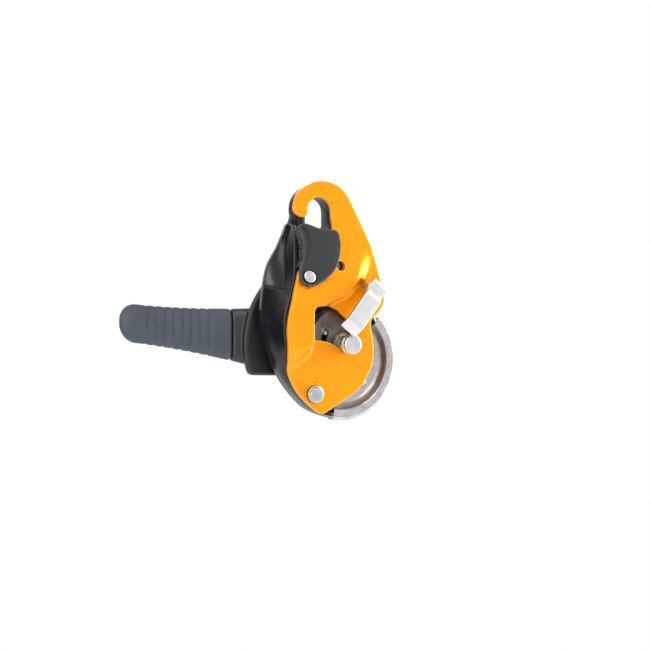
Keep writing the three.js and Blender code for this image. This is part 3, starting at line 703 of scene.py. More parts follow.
YELLOW = painted_yellow()
ANODISED = black_anodised()
GUARD_PLASTIC = moulded_plastic(
    "guard_plastic", (0.004, 0.004, 0.005), (0.008, 0.008, 0.01), 0.22, 0.28, 0.0004, 0.0000008, 0.4)
LEVER_PLASTIC = moulded_plastic(
    "lever_plastic", (0.01, 0.011, 0.013), (0.017, 0.018, 0.021), 0.28, 0.4, 0.0004, 0.00002)
# The gate's last number lightens its edges: a painted highlight for the light on its ribbed side
GATE_PLASTIC = moulded_plastic(
    "gate_plastic", (0.010, 0.0105, 0.012), (0.015, 0.0155, 0.017), 0.44, 0.56, 0.0004, 0.00002, 0.32, 0.55)
GRIP_PLASTIC = moulded_plastic(
    "grip_plastic", (0.036, 0.047, 0.062), (0.052, 0.066, 0.086), 0.52, 0.66, 0.0005, 0.00005)
BUTTON_PLASTIC = moulded_plastic(
    "button_plastic", (0.58, 0.06, 0.012), (0.68, 0.085, 0.02), 0.32, 0.42, 0.0005, 0.00002)
TURNED = turned_steel("turned_steel", (0.56, 0.56, 0.555), (0.68, 0.68, 0.67), 0.2, 0.38)
DULL_TURNED = turned_steel("dull_turned_steel", (0.4, 0.4, 0.39), (0.5, 0.5, 0.49), 0.3, 0.46)
RIM_STEEL = turned_steel("rim_stainless", (0.42, 0.41, 0.40), (0.53, 0.525, 0.52), 0.24, 0.4)
# Darker than the cam's steel would be: painted shade for the shadow inside the window where the cam shows
SHADED_CAM_STEEL = turned_steel("cam_steel", (0.1, 0.098, 0.095), (0.16, 0.157, 0.15), 0.28, 0.42)
BLASTED = blasted_stainless()
SPRING = plain_metal("spring_wire", (0.35, 0.36, 0.37), (0.5, 0.5, 0.51), 0.22, 0.36)
CATCH_STEEL = plain_metal("catch_stainless", (0.5, 0.5, 0.5), (0.62, 0.62, 0.62), 0.28, 0.4)
BRONZE = plain_metal("bush_bronze", (0.38, 0.25, 0.1), (0.52, 0.35, 0.16), 0.3, 0.45)


def stand_for(piece, node, material):
    """Puts a finished piece in a CAD node's place, on that node's body."""
    piece.name = f"{node}_visual"
    piece.data.materials.clear()
    piece.data.materials.append(material)
    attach(piece, frame["nodes"][node]["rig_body"])
    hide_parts(node)
    return piece


# ------------------------------------------------------------ front side plate

FOLD = smooth_line([
    (36, -8), (33, -20), (29.5, -34), (24, -45), (14.5, -54), (2, -59.5),
    (-5, -65), (-7, -74), (-8.5, -83), (-14, -91), (-25, -99), (-38, -106),
], 1.5)


def soft_ramp(x):
    """Length of the way past zero, rounded off over a couple of millimetres."""
    rounding = 1.2
    return rounding * np.logaddexp(0, x / rounding)


def outside_fold(points):
    """Distance outside the fold line, negative inside."""
    starts, ends = FOLD[:-1], FOLD[1:]
    along = ends - starts
    length = (along**2).sum(1)

    def measure(some):
        offset = some[:, None, :] - starts[None]
        share = np.clip((offset * along).sum(2) / length, 0, 1)
        distance = np.sqrt(((offset - share[..., None] * along) ** 2).sum(2))
        nearest = distance.argmin(1)
        rows = np.arange(len(some))
        side = along[nearest, 0] * offset[rows, nearest, 1] - along[nearest, 1] * offset[rows, nearest, 0]
        return np.where(side > 0, 1, -1) * distance[rows, nearest]

    return in_chunks(points, measure)


def front_level(points):
    """Distance of the front plate's front face in front of the eye's centre."""
    z = points[:, 1]
    climb = FRONT_SLOPE * (soft_ramp(-z) - soft_ramp(BULGE_TOP - z))
    fall = (BULGE_LEVEL - BASE_LEVEL - 1) * smoothstep((BULGE_FOOT - z) / BULGE_FALL)
    raised = HOOK_LEVEL + climb - fall
    fold_width = 4.6 + 5.4 * smoothstep((z + 50) / 16) + 4.0 * smoothstep((-84 - z) / 10)
    outside = smoothstep(0.5 + outside_fold(points) / fold_width)
    return raised - np.maximum(0, raised - BASE_LEVEL) * outside


def front_outline():
    """Outline of the front plate: hook round the eye, right edge, round foot, left edge."""
    hook = smooth_line([
        (-13.2, -5.8), (-16.6, -3.6), (-18.1, 0.6), (-15.1, 9.5), (-5.3, 16.1), (4, 17.5),
        (14.6, 14.3), (22.7, 5.1), (30.9, -13.9), (36.1, -28.3), (40.8, -43.9), (43.8, -56),
        (40.5, -63.5), (34, -71), (35.9, -88.1), (34, -99.7), (25.3, -112.8), (12.6, -120.8),
        (3, -126.5), (-2.5, -127.6), (-12.6, -120.2), (-20.1, -111.4), (-25, -100.5),
        (-28.3, -84), (-28.7, -72.8), (-24.8, -55.4), (-20.3, -42.6),
    ])
    gate_axis = GATE_RIVET[[0, 2]]
    slot_corner = gate_axis + 33.5 * direction(52)
    slot = np.vstack([arc(gate_axis, GATE_SEAT, 148, 63), [slot_corner, (8.1, -12)]])
    eye = arc(EYE_TOP, EYE_RADIUS - 0.1, 0, 190)
    return soften(np.vstack([hook, slot, eye, [(-9.4, -4.6)]]), 0.5)


def window_outline():
    """Window that shows the cam; its lower edge is the arc slot that the axle's neck runs in."""
    reach = np.linalg.norm(AXLE - PIVOT)
    bearing = math.degrees(math.atan2(AXLE[1] - PIVOT[1], AXLE[0] - PIVOT[0]))
    slot_radius = 4.5
    left_edge = -10.3
    last_angle = math.degrees(math.acos((left_edge - PIVOT[0]) / (reach - slot_radius)))
    return soften(np.vstack([
        arc(PIVOT, reach - slot_radius, last_angle, bearing),
        arc(AXLE, slot_radius, bearing - 150, bearing - 10),
        [(20, -76), (16, -69), (10, -63.5), (4, -60.8), (-3, -61)],
        arc(np.array([-6.3, -65]), 4, 100, 180),
    ]), 0.5)


DIMPLE = np.array([-6.4, -107.2])
DIMPLE_RADIUS = 1.5
PRESS_LINE = smooth_line([(-24.5, -62), (-22.5, -55.5), (-16, -49.8), (-5, -45.5), (9, -41.2)], 0.8)


def front_face(points):
    """Y of the front plate's face, with its punched dimple and the faint line of the press tool."""
    dimple = np.linalg.norm(points - DIMPLE, axis=1) - DIMPLE_RADIUS
    angle = np.arctan2(points[:, 1] - DIMPLE[1], points[:, 0] - DIMPLE[0])
    opening = smoothstep((np.abs(angle - math.pi * 0.9) - 0.5) / 0.4)
    groove = 0.7 * np.exp(-((dimple / 0.36) ** 2)) * opening
    line = distance_to(points, PRESS_LINE[:-1], PRESS_LINE[1:])
    tool_mark = 0.24 * np.exp(-((line / 0.7) ** 2))
    return -front_level(points) + groove + tool_mark


def polar_cloud(centre, radii, count):
    angles = 2 * math.pi * np.arange(count) / count
    ring = np.column_stack([np.cos(angles), np.sin(angles)])
    return np.vstack([centre + radius * ring for radius in radii])


def front_side_plate():
    loops = [
        front_outline(),
        window_outline(),
        circle(STUD, 2.9),
        circle(PIVOT, 5.2),
        *[circle(place, SCREW_BORE) for place in BRAKE_SCREWS],
        circle(GATE_RIVET[[0, 2]], 2.7),
    ]
    near_line = np.vstack([offset_line(PRESS_LINE, side) for side in (-1.2, -0.7, -0.3, 0.0, 0.3, 0.7, 1.2)])
    extra = np.vstack([polar_cloud(DIMPLE, np.arange(0.7, 2.6, 0.2), 40), near_line])
    piece = soft_plate(
        "plate", loops, front_face, lambda points: PLATE - front_level(points), 0.75, 1.0, extra=extra)
    stand_for(piece, "front_side_plate", YELLOW)


# ------------------------------------------------------------ rear plate and guard

SIDE_POINTS = [
    (-17.3, -9), (-22.8, -21.4), (-30.3, -35), (-34, -51.3), (-35.4, -67),
    (-33.6, -79), (-28, -95.8), (-18.8, -111.2), (-5.5, -124.6), (8.2, -130.2),
]
WALL_POINTS = [
    (-17.2, -10), (-18.6, -24), (-21, -41), (-25.6, -55.4), (-29, -70), (-28.4, -84),
    (-24.4, -100), (-19, -111.4), (-11.6, -119.8), (-2.2, -127), (8.2, -129.6),
]
WALL_STATIONS = 200
SIDE_LINE = smooth_line(SIDE_POINTS, count=WALL_STATIONS)
WALL_LINE = smooth_line(WALL_POINTS, count=WALL_STATIONS)


def rear_outline(inset):
    """Outline of the rear plate, with its left side moved in from the guard by an inset."""
    tenth = WALL_STATIONS // 20
    left = offset_line(SIDE_LINE, inset + 1.5)[3 * tenth:-2 * tenth]
    right = smooth_line([(47.5 - inset, -66), (38, -52), (27, -34), (19.5, -16)])[4:]
    return np.vstack([
        arc(LUG_CENTRE, LUG_RADIUS, -12, 196), left, arc(RIM, RIM_RADIUS - 1.4 - inset, -105, 34), right,
    ])


def eye_outline(radius):
    return np.vstack([arc(EYE_TOP, radius, 0, 180), arc(EYE_FOOT, radius, 180, 360)[:-1]])


def rear_side_plate():
    lug = soften(np.vstack([
        arc(LUG_CENTRE, LUG_RADIUS, -12, 196), [(-15, -19), (-8, -23), (12, -23), (17.5, -14)],
    ]), 1.2)
    lug_starts, lug_ends = segments_of([lug])

    def front(points):
        away = distance_to(points, lug_starts, lug_ends)
        signed = np.where(is_inside(points, lug_starts, lug_ends), away, -away)
        return REAR_FRONT + (LUG_FRONT - REAR_FRONT) * smoothstep((signed + 0.2) / 1.6)

    rise = np.vstack([offset_line(lug, shift) for shift in (-0.4, 0.0, 0.5, 1.0, 1.5)])
    loops = [
        soften(rear_outline(WALL), 0.6),
        eye_outline(EYE_RADIUS),
        circle(AXLE, AXLE_BORE),
        circle(PIVOT, 3.9),
        *[circle(place, 2.6) for place in (STUD, CATCH_PIN)],
        circle(axis_of("cam_stop_pin"), 1.9),
        *[circle(place, SCREW_BORE) for place in GUARD_SCREWS],
        *[circle(place, 2.1) for place in FRICTION_RIVETS],
    ]
    piece = soft_plate("rear", loops, front, level(REAR_BACK), 0.7, 1.3, extra=rise)
    stand_for(piece, "rear_side_plate", ANODISED)


THUMB_TOP = -8.0  # Z where the thumb recess beside the gate begins and ends
THUMB_FOOT = -50.0
THUMB_DEPTH = 3.2
# The recess's rear edge: Z of points on it, and the share of the wall in front of it there
CREASE_HEIGHTS = (-50, -35, -20, -10)
CREASE_SHARES = (0.27, 0.42, 0.72, 0.85)


def flank_of_wall(lip, wide, outward, z):
    """Outside of the wall from its lip to its widest line, with the thumb recess where it applies."""
    shares = np.linspace(0, 1, 44)[:, None]
    plain = lip + (wide - lip) * shares + 0.9 * np.sin(math.pi * shares) * outward
    crease = float(np.interp(z, CREASE_HEIGHTS, CREASE_SHARES))
    inmost = lip + (wide - lip) * crease + THUMB_DEPTH * np.array([0.47, 0.88, 0])
    before = lip + (inmost - lip) * np.minimum(shares / crease, 1)
    beyond = (wide - inmost) * np.maximum(shares - crease, 0) / (1 - crease)
    swell = 0.7 * np.sin(math.pi * np.clip((shares - crease) / (1 - crease), 0, 1)) * outward
    deep = smoothstep((THUMB_TOP - z) / 5) * (1 - smoothstep((THUMB_FOOT - z) / 1.6))
    return plain + (before + beyond + swell - plain) * deep


def guard_wall():
    """Left wall: a lip behind the front plate, a thumb recess beside the gate, a round rear corner."""
    front_y = PLATE + SWING_GAP - front_level(WALL_LINE)
    corner = offset_line(SIDE_LINE, 2.2)
    corner_inner = offset_line(SIDE_LINE, 5.5)
    inner = offset_line(SIDE_LINE, WALL)
    lip_inner = offset_line(WALL_LINE, 0.8 * WALL)

    def spot(line, y):
        return np.array([line[0], y, line[1]])

    rings = []
    for i in range(WALL_STATIONS + 1):
        lip = spot(WALL_LINE[i], front_y[i])
        wide = spot(SIDE_LINE[i], WIDEST_LEVEL)
        outward = spot(SIDE_LINE[i] - corner[i], 0) / 2.2
        flank = flank_of_wall(lip, wide, outward, WALL_LINE[i][1])
        rear_corner = smooth_line([
            wide,
            spot(SIDE_LINE[i], 7.2) - 0.15 * outward,
            spot(SIDE_LINE[i], 9.4) - 0.8 * outward,
            spot(corner[i], SKIN_BACK),
        ], count=12)
        back = [
            spot((corner[i] + corner_inner[i]) / 2, SKIN_BACK),
            spot(corner_inner[i], SKIN_BACK),
            spot(inner[i], WIDEST_LEVEL),
        ]
        thickness = spot(lip_inner[i], front_y[i]) - lip
        inside_flank = (flank + thickness)[::-3][1:-1]
        lip_round = [lip + thickness * share + np.array([0, rise, 0]) for share, rise in (
            (1.0, 0.35), (0.9, 0.08), (0.5, -0.12), (0.1, 0.08))]
        rings.append(np.vstack([flank[1:], rear_corner[1:], back, inside_flank, lip_round]))
    return loft("wall", rings)


def side_guard():
    tenth = WALL_STATIONS // 20
    outline = soften(np.vstack([
        offset_line(SIDE_LINE, 2.6)[2 * tenth:-tenth],
        arc(RIM, RIM_RADIUS - 4.5, -100, 34),
        [(40, -64), (31, -50), (21.5, -33), (17, -25), (-12, -25)],
    ]), 0.8)
    pockets = np.array(GUARD_SCREWS)

    def back(points):
        near = np.linalg.norm(points[:, None] - pockets[None], axis=2).min(1)
        hub_ring = np.abs(np.linalg.norm(points - AXLE, axis=1) - 19.5)
        pocket = 1.05 * (1 - smoothstep((near - 3.35) / 0.3))
        groove = 0.35 * np.exp(-((hub_ring / 0.8) ** 2))
        return SKIN_BACK - 0.15 - pocket - groove

    rings = np.vstack([polar_cloud(place, (2.4, 3.0, 3.3, 3.5, 3.7, 4.0, 4.6), 48) for place in pockets])
    hub_groove = polar_cloud(AXLE, np.arange(18.1, 21, 0.4), 240)
    loops = [outline, circle(AXLE, 9.5), *[circle(place, SCREW_BORE) for place in pockets]]
    extra = np.vstack([rings, hub_groove])
    skin = soft_plate("skin", loops, level(REAR_BACK + GAP), back, 0.5, 1.3, extra=extra)
    stand_for(join(guard_wall(), skin), "side_guard", GUARD_PLASTIC)


# ------------------------------------------------------------ friction plate, axles, pins, screws

def friction_plate():
    """Stainless rim: a floor for the rope, a hollow that rises to a flange, and a lip back to the plate."""
    floor = REAR_FRONT - GAP
    sheet = 1.5
    section = dense(filleted([
        (20.5, floor), (20.5, floor - sheet), (26, floor - sheet), (28.3, 2.6), (30.2, 1.1),
        (31.4, -0.8), (32.4, -2), (37, -2), (38.4, -1.3), (RIM_RADIUS, 0.2),
        (RIM_RADIUS, floor), (RIM_RADIUS - sheet, floor), (RIM_RADIUS - sheet, 0.4),
        (36.6, -0.5), (33.2, -0.5), (31.4, 2.4), (29.2, 4), (27.2, floor),
    ], 1.0, closed=True), 1.2)
    turns = np.linspace(RIM_START, RIM_END, 170)
    rings = [ring_at(RIM, degrees, section[:, 0], section[:, 1]) for degrees in turns]
    piece = loft("rim", rings, origin=(RIM[0], 0, RIM[1]))
    rounding = piece.modifiers.new("ends", "BEVEL")
    rounding.width = 0.35 * MM
    rounding.segments = 3
    rounding.limit_method = "ANGLE"
    rounding.angle_limit = math.radians(50)
    apply_modifiers(piece)
    stand_for(piece, "friction_plate", RIM_STEEL)


def main_axle():
    profile = [
        (0, -21.3), (5.3, -21.3), (6, -20.6), (6, -18.7), (4.9, -18.3), (4.9, -16.8),
        (6, -16.4), (6, -12.5), (4.2, -12.5), (4.2, -8.6), (6.5, -8.6), (6.5, 24), (5.7, 24),
        (5.7, 25.2), (6.5, 25.2), (6.5, 26.2), (5.9, 26.8), (0, 26.8),
    ]
    stand_for(lathe("axle", profile, AXLE, 0.3), "main_axle", TURNED)


def plate_pivot_axle():
    profile = [
        (0, -15.6), (4.1, -15.6), (4.7, -15), (4.7, -14), (5.5, -13.6), (5.5, -12.35), (3.6, -12.35),
        (3.6, -8.7), (4.4, -8.7), (4.4, REAR_FRONT - GAP), (3.6, REAR_FRONT - GAP),
        (3.6, REAR_BACK), (0, REAR_BACK),
    ]
    stand_for(lathe("pivot", profile, PIVOT, 0.3), "plate_pivot_axle", DULL_TURNED)


def locking_stud():
    profile = [
        (0, -7.4), (1.1, -7.4), (1.2, -8.6), (2.1, -8.6), (2.6, -8.1), (2.6, 1), (4, 1),
        (4, REAR_FRONT - GAP), (2.4, REAR_FRONT - GAP), (2.4, REAR_BACK), (0, REAR_BACK),
    ]
    stand_for(lathe("stud", profile, STUD, 0.2), "locking_stud", DULL_TURNED)


def cam_stop_pin():
    centre = axis_of("cam_stop_pin")
    profile = [(0, -7.6), (1.2, -7.6), (1.6, -7.2), (1.6, REAR_BACK), (0, REAR_BACK)]
    stand_for(lathe("stop_pin", profile, centre, 0.2, 48), "cam_stop_pin", DULL_TURNED)


def catch_pin():
    profile = [
        (0, -8), (1.6, -8), (2, -7.6), (2, 2.6), (3.2, 2.6), (3.2, REAR_FRONT - GAP), (2, REAR_FRONT - GAP),
        (2, REAR_BACK), (0, REAR_BACK),
    ]
    stand_for(lathe("catch_pin", profile, CATCH_PIN, 0.2, 64), "catch_pin", DULL_TURNED)


SOCKET = 1.35  # half the width across flats of the screws' hexagon sockets


def guard_screw(number):
    seat = SKIN_BACK - 0.9
    profile = [
        (0, 5.2), (1.5, 5.2), (1.5, seat), (3.2, seat), (3.2, seat + 1.0), (2.6, seat + 1.5),
        (SOCKET + 0.25, seat + 1.5), (SOCKET, seat + 1.3), (SOCKET, seat + 0.3), (0, seat + 0.2),
    ]
    piece = lathe("screw", profile, GUARD_SCREWS[number - 1], 0.2, 72, hexagon_below=SOCKET + 0.1)
    stand_for(piece, f"guard_screw_{number}", DULL_TURNED)


def handle_screw(number):
    seat = LEVER_BACK - 3 + GAP
    profile = [
        (0, SKIN_BACK + 1.4), (1.4, SKIN_BACK + 1.4), (1.4, seat), (3.2, seat),
        (3.2, seat + 1.8), (2.6, seat + 2.4), (SOCKET + 0.25, seat + 2.4),
        (SOCKET, seat + 2.1), (SOCKET, seat + 0.7), (0, seat + 0.6),
    ]
    piece = lathe("screw", profile, HANDLE_SCREWS[number - 1], 0.2, 72, hexagon_below=SOCKET + 0.03)
    stand_for(piece, f"handle_screw_{number}", DULL_TURNED)


def friction_rivet(number):
    floor = REAR_FRONT - GAP - 1.5
    profile = [
        (0, floor - 1.5), (1.3, floor - 1.4), (2.3, floor - 0.9), (2.6, floor - GAP), (1.8, floor - GAP),
        (1.8, REAR_BACK), (0, REAR_BACK),
    ]
    piece = lathe("rivet", profile, FRICTION_RIVETS[number - 1], 0.3, 64)
    stand_for(piece, f"friction_rivet_{number}", DULL_TURNED)


def brake_screw(number):
    back = PLATE - BASE_LEVEL
    profile = [
        (0, -17.4), (1.5, -17.4), (1.5, back + 0.05), (2.6, back + GAP), (2.6, back + 0.9),
        (1.3, back + 0.9), (1.0, back + 0.7), (1.0, back - 0.4), (0, back - 0.5),
    ]
    piece = lathe("screw", profile, BRAKE_SCREWS[number - 1], 0.15, 60, hexagon_below=1.1)
    stand_for(piece, f"brake_screw_{number}", DULL_TURNED)


def pivot_bush():
    profile = [(3.9, PLATE - BASE_LEVEL), (4.9, PLATE - BASE_LEVEL), (4.9, -BASE_LEVEL), (3.9, -BASE_LEVEL)]
    stand_for(lathe("bush", profile, PIVOT, 0.2, ring=True), "pivot_bush", BRONZE)


# ------------------------------------------------------------ auxiliary brake

def auxiliary_brake():
    """A strip that stands on the plate, bends over the rope and dips at its free end."""
    foot = -BASE_LEVEL - GAP
    outline = filleted([
        (-2, foot), (-2, -25), (-0.6, -26.4), (2.6, -26.4), (4, -24.8), (5.4, -24.8), (8.6, -27.8),
        (29.8, -27.8), (36.4, -24.2), (34.9, -21.6), (28.9, -24.8), (9.7, -24.8), (6.8, -21.9),
        (3.6, -21.9), (3.6, foot),
    ], 1.1, closed=True)
    outline = resample(outline, 0.3, closed=True)
    along = np.array([math.cos(BRAKE_BEARING), math.sin(BRAKE_BEARING)])
    across = np.array([-along[1], along[0]])

    def place(points):
        spot = BRAKE_START + points[:, :1] * along + points[:, 1:2] * across
        return np.column_stack([spot[:, 0], points[:, 2], spot[:, 1]])

    half = BRAKE_WIDTH / 2
    piece = soft_plate("brake", [outline], level(-half), level(half), 1.0, 0.8, place=place)
    stand_for(piece, "auxiliary_brake", BLASTED)


# ------------------------------------------------------------ gate, about its own axis

def gate_aligned(points):
    """Moves points made about the gate's own axis to where the gate is."""
    turn = np.array(Matrix.Rotation(GATE_TILT, 3, "X"))
    return points @ turn.T + GATE_RIVET


RIB_PITCH = 1.8
RIB_DEPTH = 0.9
RIB_FROM = 9.6
RIB_TO = 32.2


def gate_outline():
    line = soften(smooth_line([
        (0.6, 34.7), (3.6, 34), (10, 31.8), (15, 31.1), (21.5, 30.9), (24.3, 28.6), (24.9, 22),
        (23.6, 15), (20.2, 7), (14.4, 0.6), (7.2, -4), (0.8, -5.7), (-3.4, -4.8), (-5.5, -1.6),
        (-5.8, 2.5), (-5.2, 6.5), (-3.9, 10), (-2.6, 14), (-2, 19.5), (-2.2, 25), (-3.2, 30.5),
        (-2.6, 33.6),
    ], 0.3), 0.6, 0.2)
    ribbed = (line[:, 0] < 0) & (line[:, 1] > RIB_FROM) & (line[:, 1] < RIB_TO)
    phase = (line[:, 1] - RIB_FROM) / RIB_PITCH % 1
    teeth = smoothstep((phase - 0.42) / 0.16) * (1 - smoothstep((phase - 0.84) / 0.16))
    line[:, 0] += np.where(ribbed, RIB_DEPTH * teeth, 0)
    return line


def gate_flange():
    """The ribbed flange on the gate's left edge, which fills the opening in the front plate's edge."""
    line = gate_outline()
    left = line[(line[:, 0] < -1) & (line[:, 1] > 8) & (line[:, 1] < 32.8)]
    outline = np.vstack([left, [(0, 33), (0.6, 28), (1.2, 20), (0.6, 14), (-0.6, 10), (-2, 8)]])
    front = level(1.2 - GAP - GATE_THICK)
    return soft_plate("flange", [outline], front, level(PLATE + GATE_HEEL), 0.3, 0.9, gate_aligned)


def gate():
    """Plastic gate with grip ribs on its left side and a shallow thumb dish beside them."""
    face = -GAP - GATE_THICK
    dish_edge = smooth_line([(-3.8, 8.6), (0.4, 12.6), (3.4, 18), (4.2, 23.5), (2.8, 29), (0.2, 32.8)], 0.5)

    def front(points):
        limit = np.interp(points[:, 1], dish_edge[:, 1], dish_edge[:, 0])
        depth = 1.1 * smoothstep((limit - points[:, 0]) / 4.5)
        step = 0.35 * smoothstep((limit - points[:, 0]) / 0.9)
        within = smoothstep((points[:, 1] - 8.6) / 3)
        crown = 0.5 * smoothstep((np.hypot(points[:, 0] - 9, points[:, 1] - 15) - 8) / 16)
        seat = 0.35 * (1 - smoothstep((np.hypot(points[:, 0], points[:, 1]) - 4.3) / 0.5))
        return face + (depth + step) * within + crown + seat

    def back(points):
        pocket = 1 - smoothstep((np.hypot(points[:, 0], points[:, 1]) - 4.5) / 0.2)
        return -GAP - 2.2 * pocket

    rings = polar_cloud(np.zeros(2), (3.2, 3.6, 3.95, 4.2, 4.4, 4.55, 4.7, 4.85, 5.1), 72)
    near_dish = np.vstack([offset_line(dish_edge, side) for side in (-0.6, -0.2, 0.2, 0.6, 1.0)])
    loops = [gate_outline(), circle(np.zeros(2), 2.7)]
    cover = soft_plate("gate", loops, front, back, 0.6, 0.9, gate_aligned, np.vstack([rings, near_dish]))
    stand_for(join(cover, gate_flange()), "gate", GATE_PLASTIC)


def gate_rivet():
    face = -GAP - GATE_THICK
    profile = [
        (0, face - 0.7), (3.2, face - 0.7), (3.75, face - 0.4), (3.75, face - 0.2), (2.4, face - 0.2),
        (2.4, PLATE + 0.15), (3.4, PLATE + 0.15), (3.4, PLATE + 0.9), (0, PLATE + 0.9),
    ]
    piece = lathe("rivet", profile, np.zeros(2), 0.25)
    turn = Matrix.Rotation(GATE_TILT, 4, "X")
    middle = piece.location.copy()
    piece.matrix_world = Matrix.Translation(Vector(GATE_RIVET * MM)) @ turn @ Matrix.Translation(middle)
    stand_for(piece, "gate_rivet", TURNED)


def springs():
    gate_coil = coil("coil", (0, -2, 0), 3.7, 0.7, 1.2, 1, gate_aligned)
    stand_for(gate_coil, "gate_spring", SPRING)
    catch = coil("coil", (CATCH_PIN[0], -0.3, CATCH_PIN[1]), 3.2, 0.7, 2, 1.1)
    stand_for(catch, "catch_spring", SPRING)
    stand_for(coil("coil", (AXLE[0], 2.4, AXLE[1]), 9.2, 1, 1.5, 1.3), "cam_spring", SPRING)
    button = coil("coil", (BUTTON[0], LEVER_FRONT + 2.9, BUTTON[1]), 3.6, 0.7, 2.5, 1.9)
    stand_for(button, "button_spring", SPRING)
    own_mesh(button)


# ------------------------------------------------------------ cam and anti-error catch

CAM_REACH = 19  # mean radius of the cam, and how far it is off centre
CAM_THROW = 5
STOP_BEARING = 150  # degrees from +X, where the cam reaches furthest and its slot begins
CAM_TRAVEL = 20  # degrees that the cam can turn


def cam():
    """Eccentric cam with a groove for the rope and the arc slot for its stop pin."""
    bore = 8.0
    section = dense(filleted([
        (0, -8.4), (1, -8.4), (1, -7.2), (0.76, -3.4), (0.76, -0.4), (1, 3.4), (1, 4.6), (0.35, 4.6),
        (0.35, 1.7), (0, 1.7),
    ], 0.35, closed=True), 0.6)
    rings = []
    for degrees in np.arange(0, 360, 2):
        reach = CAM_REACH + CAM_THROW * math.cos(math.radians(degrees - STOP_BEARING))
        radii = bore + section[:, 0] * (reach - bore)
        rings.append(ring_at(AXLE, degrees, radii, section[:, 1]))
    piece = loft("cam", rings, closed=True, origin=(AXLE[0], 0, AXLE[1]))
    cut_stop_slot(piece)
    stand_for(piece, "cam", SHADED_CAM_STEEL)


def cut_stop_slot(piece):
    room = 1.9
    reach = 14.5
    share = math.degrees(room / reach)
    start = STOP_BEARING - share
    stop = STOP_BEARING + CAM_TRAVEL + share
    outline = np.vstack([arc(AXLE, reach + room, start, stop), arc(AXLE, reach - room, stop, start)])
    cutter = soft_plate("cutter", [soften(outline, 0.8)], level(-20), level(20), 0.1, 3)
    cut(piece, [cutter])


def cam_bush():
    profile = [(6.75, 1.5), (7.7, 1.5), (7.7, -8.3), (6.75, -8.3)]
    stand_for(lathe("bush", profile, AXLE, 0.2, ring=True), "cam_bush", BRONZE)


def anti_error_catch():
    nose = smooth_line([(-12, -49), (-15, -56), (-20, -61.5), (-20.5, -64), (-16, -63), (-9, -55.5)], 0.5)
    outline = soften(np.vstack([arc(CATCH_PIN, 5, -100, 170), nose]), 0.5)
    piece = soft_plate("catch", [outline, circle(CATCH_PIN, 2.3)], level(-5), level(-1), 0.5, 0.9)
    stand_for(piece, "anti_error_catch", CATCH_STEEL)


# ------------------------------------------------------------ handle

def handle_hub():
    screw_holes = [circle(place, SCREW_BORE) for place in HANDLE_SCREWS]
    loops = [circle(AXLE, HUB_RADIUS - 2), circle(AXLE, AXLE_BORE), *screw_holes]
    piece = soft_plate("hub", loops, level(SKIN_BACK + 0.9), level(LEVER_FRONT - GAP), 0.4, 1.6)
    stand_for(piece, "handle_hub", DULL_TURNED)


def lever_section(share, inset, round_from, steps=56):
    """Ring of points round the lever at a share of its way from root to tip."""
    bend = share * share * (3 - 2 * share)
    centre = LEVER_ROOT + (LEVER_TIP - LEVER_ROOT) * np.array([share, 0.35 * bend + 0.65 * share, share])
    half_width = 12 + 9 * (1 - share) ** 2
    half_thick = 4.4 + 1.4 * float(smoothstep(share * 2))
    to_tip = 0.9995 * max(0.0, (share - round_from) / (1 - round_from)) if round_from < 1 else 0.0
    round_off = math.sqrt(max(0.0, 1 - min(to_tip, 0.9995) ** 2))
    angles = 2 * math.pi * np.arange(steps) / steps
    wide = (half_width - inset) * round_off * np.sign(np.cos(angles)) * np.abs(np.cos(angles)) ** 0.7
    thick = (half_thick - inset) * round_off * np.sign(np.sin(angles)) * np.abs(np.sin(angles)) ** 0.7
    return np.column_stack([np.full(steps, centre[0]), centre[1] + thick, centre[2] + wide])


def handle_grip():
    """Soft grip with shallow finger grooves across its front and back."""
    outer = []
    shares = np.concatenate([np.linspace(GRIP_START, 0.9, 120), 1 - 0.1 * np.linspace(1, 0, 40) ** 2])
    for share in shares:
        ring = lever_section(share, 0, 0.9)
        middle = ring.mean(0)
        grooved = 0.42 < share < 0.86
        wave = 0.5 - 0.5 * math.cos(2 * math.pi * (share - 0.42) / 0.055)
        depth = 0.55 * wave ** 3 if grooved else 0.0
        lip = 0.5 * (1 - float(smoothstep((share - GRIP_START) / 0.012)))
        offset = ring - middle
        length = np.linalg.norm(offset[:, 1:], axis=1)[:, None]
        ring = ring - offset / np.maximum(length, 1e-6) * np.array([0, 1, 1]) * min(depth + lip, 0.8)
        outer.append(ring)
    inner = [lever_section(share, GRIP_WALL, 2.0) for share in np.linspace(0.94, GRIP_START, 40)]
    rings = np.vstack([np.array(outer), np.array(inner)])
    piece = grip_shell(rings)
    stand_for(piece, "handle_grip", GRIP_PLASTIC)


def grip_shell(rings):
    """Rings that run down the outside to the tip and back up the inside, joined end to end."""
    stations, around, _ = rings.shape
    outside = stations - 40
    faces = []
    for i in list(range(outside - 1)) + list(range(outside, stations - 1)) + [stations - 1]:
        a = i * around
        b = ((i + 1) % stations) * around
        faces += [[a + j, a + (j + 1) % around, b + (j + 1) % around, b + j] for j in range(around)]
    tip = (outside - 1) * around
    floor = outside * around
    faces.append([tip + j for j in range(around)])
    faces.append([floor + j for j in range(around)][::-1])
    return make_object("grip", rings.reshape(-1, 3), faces)


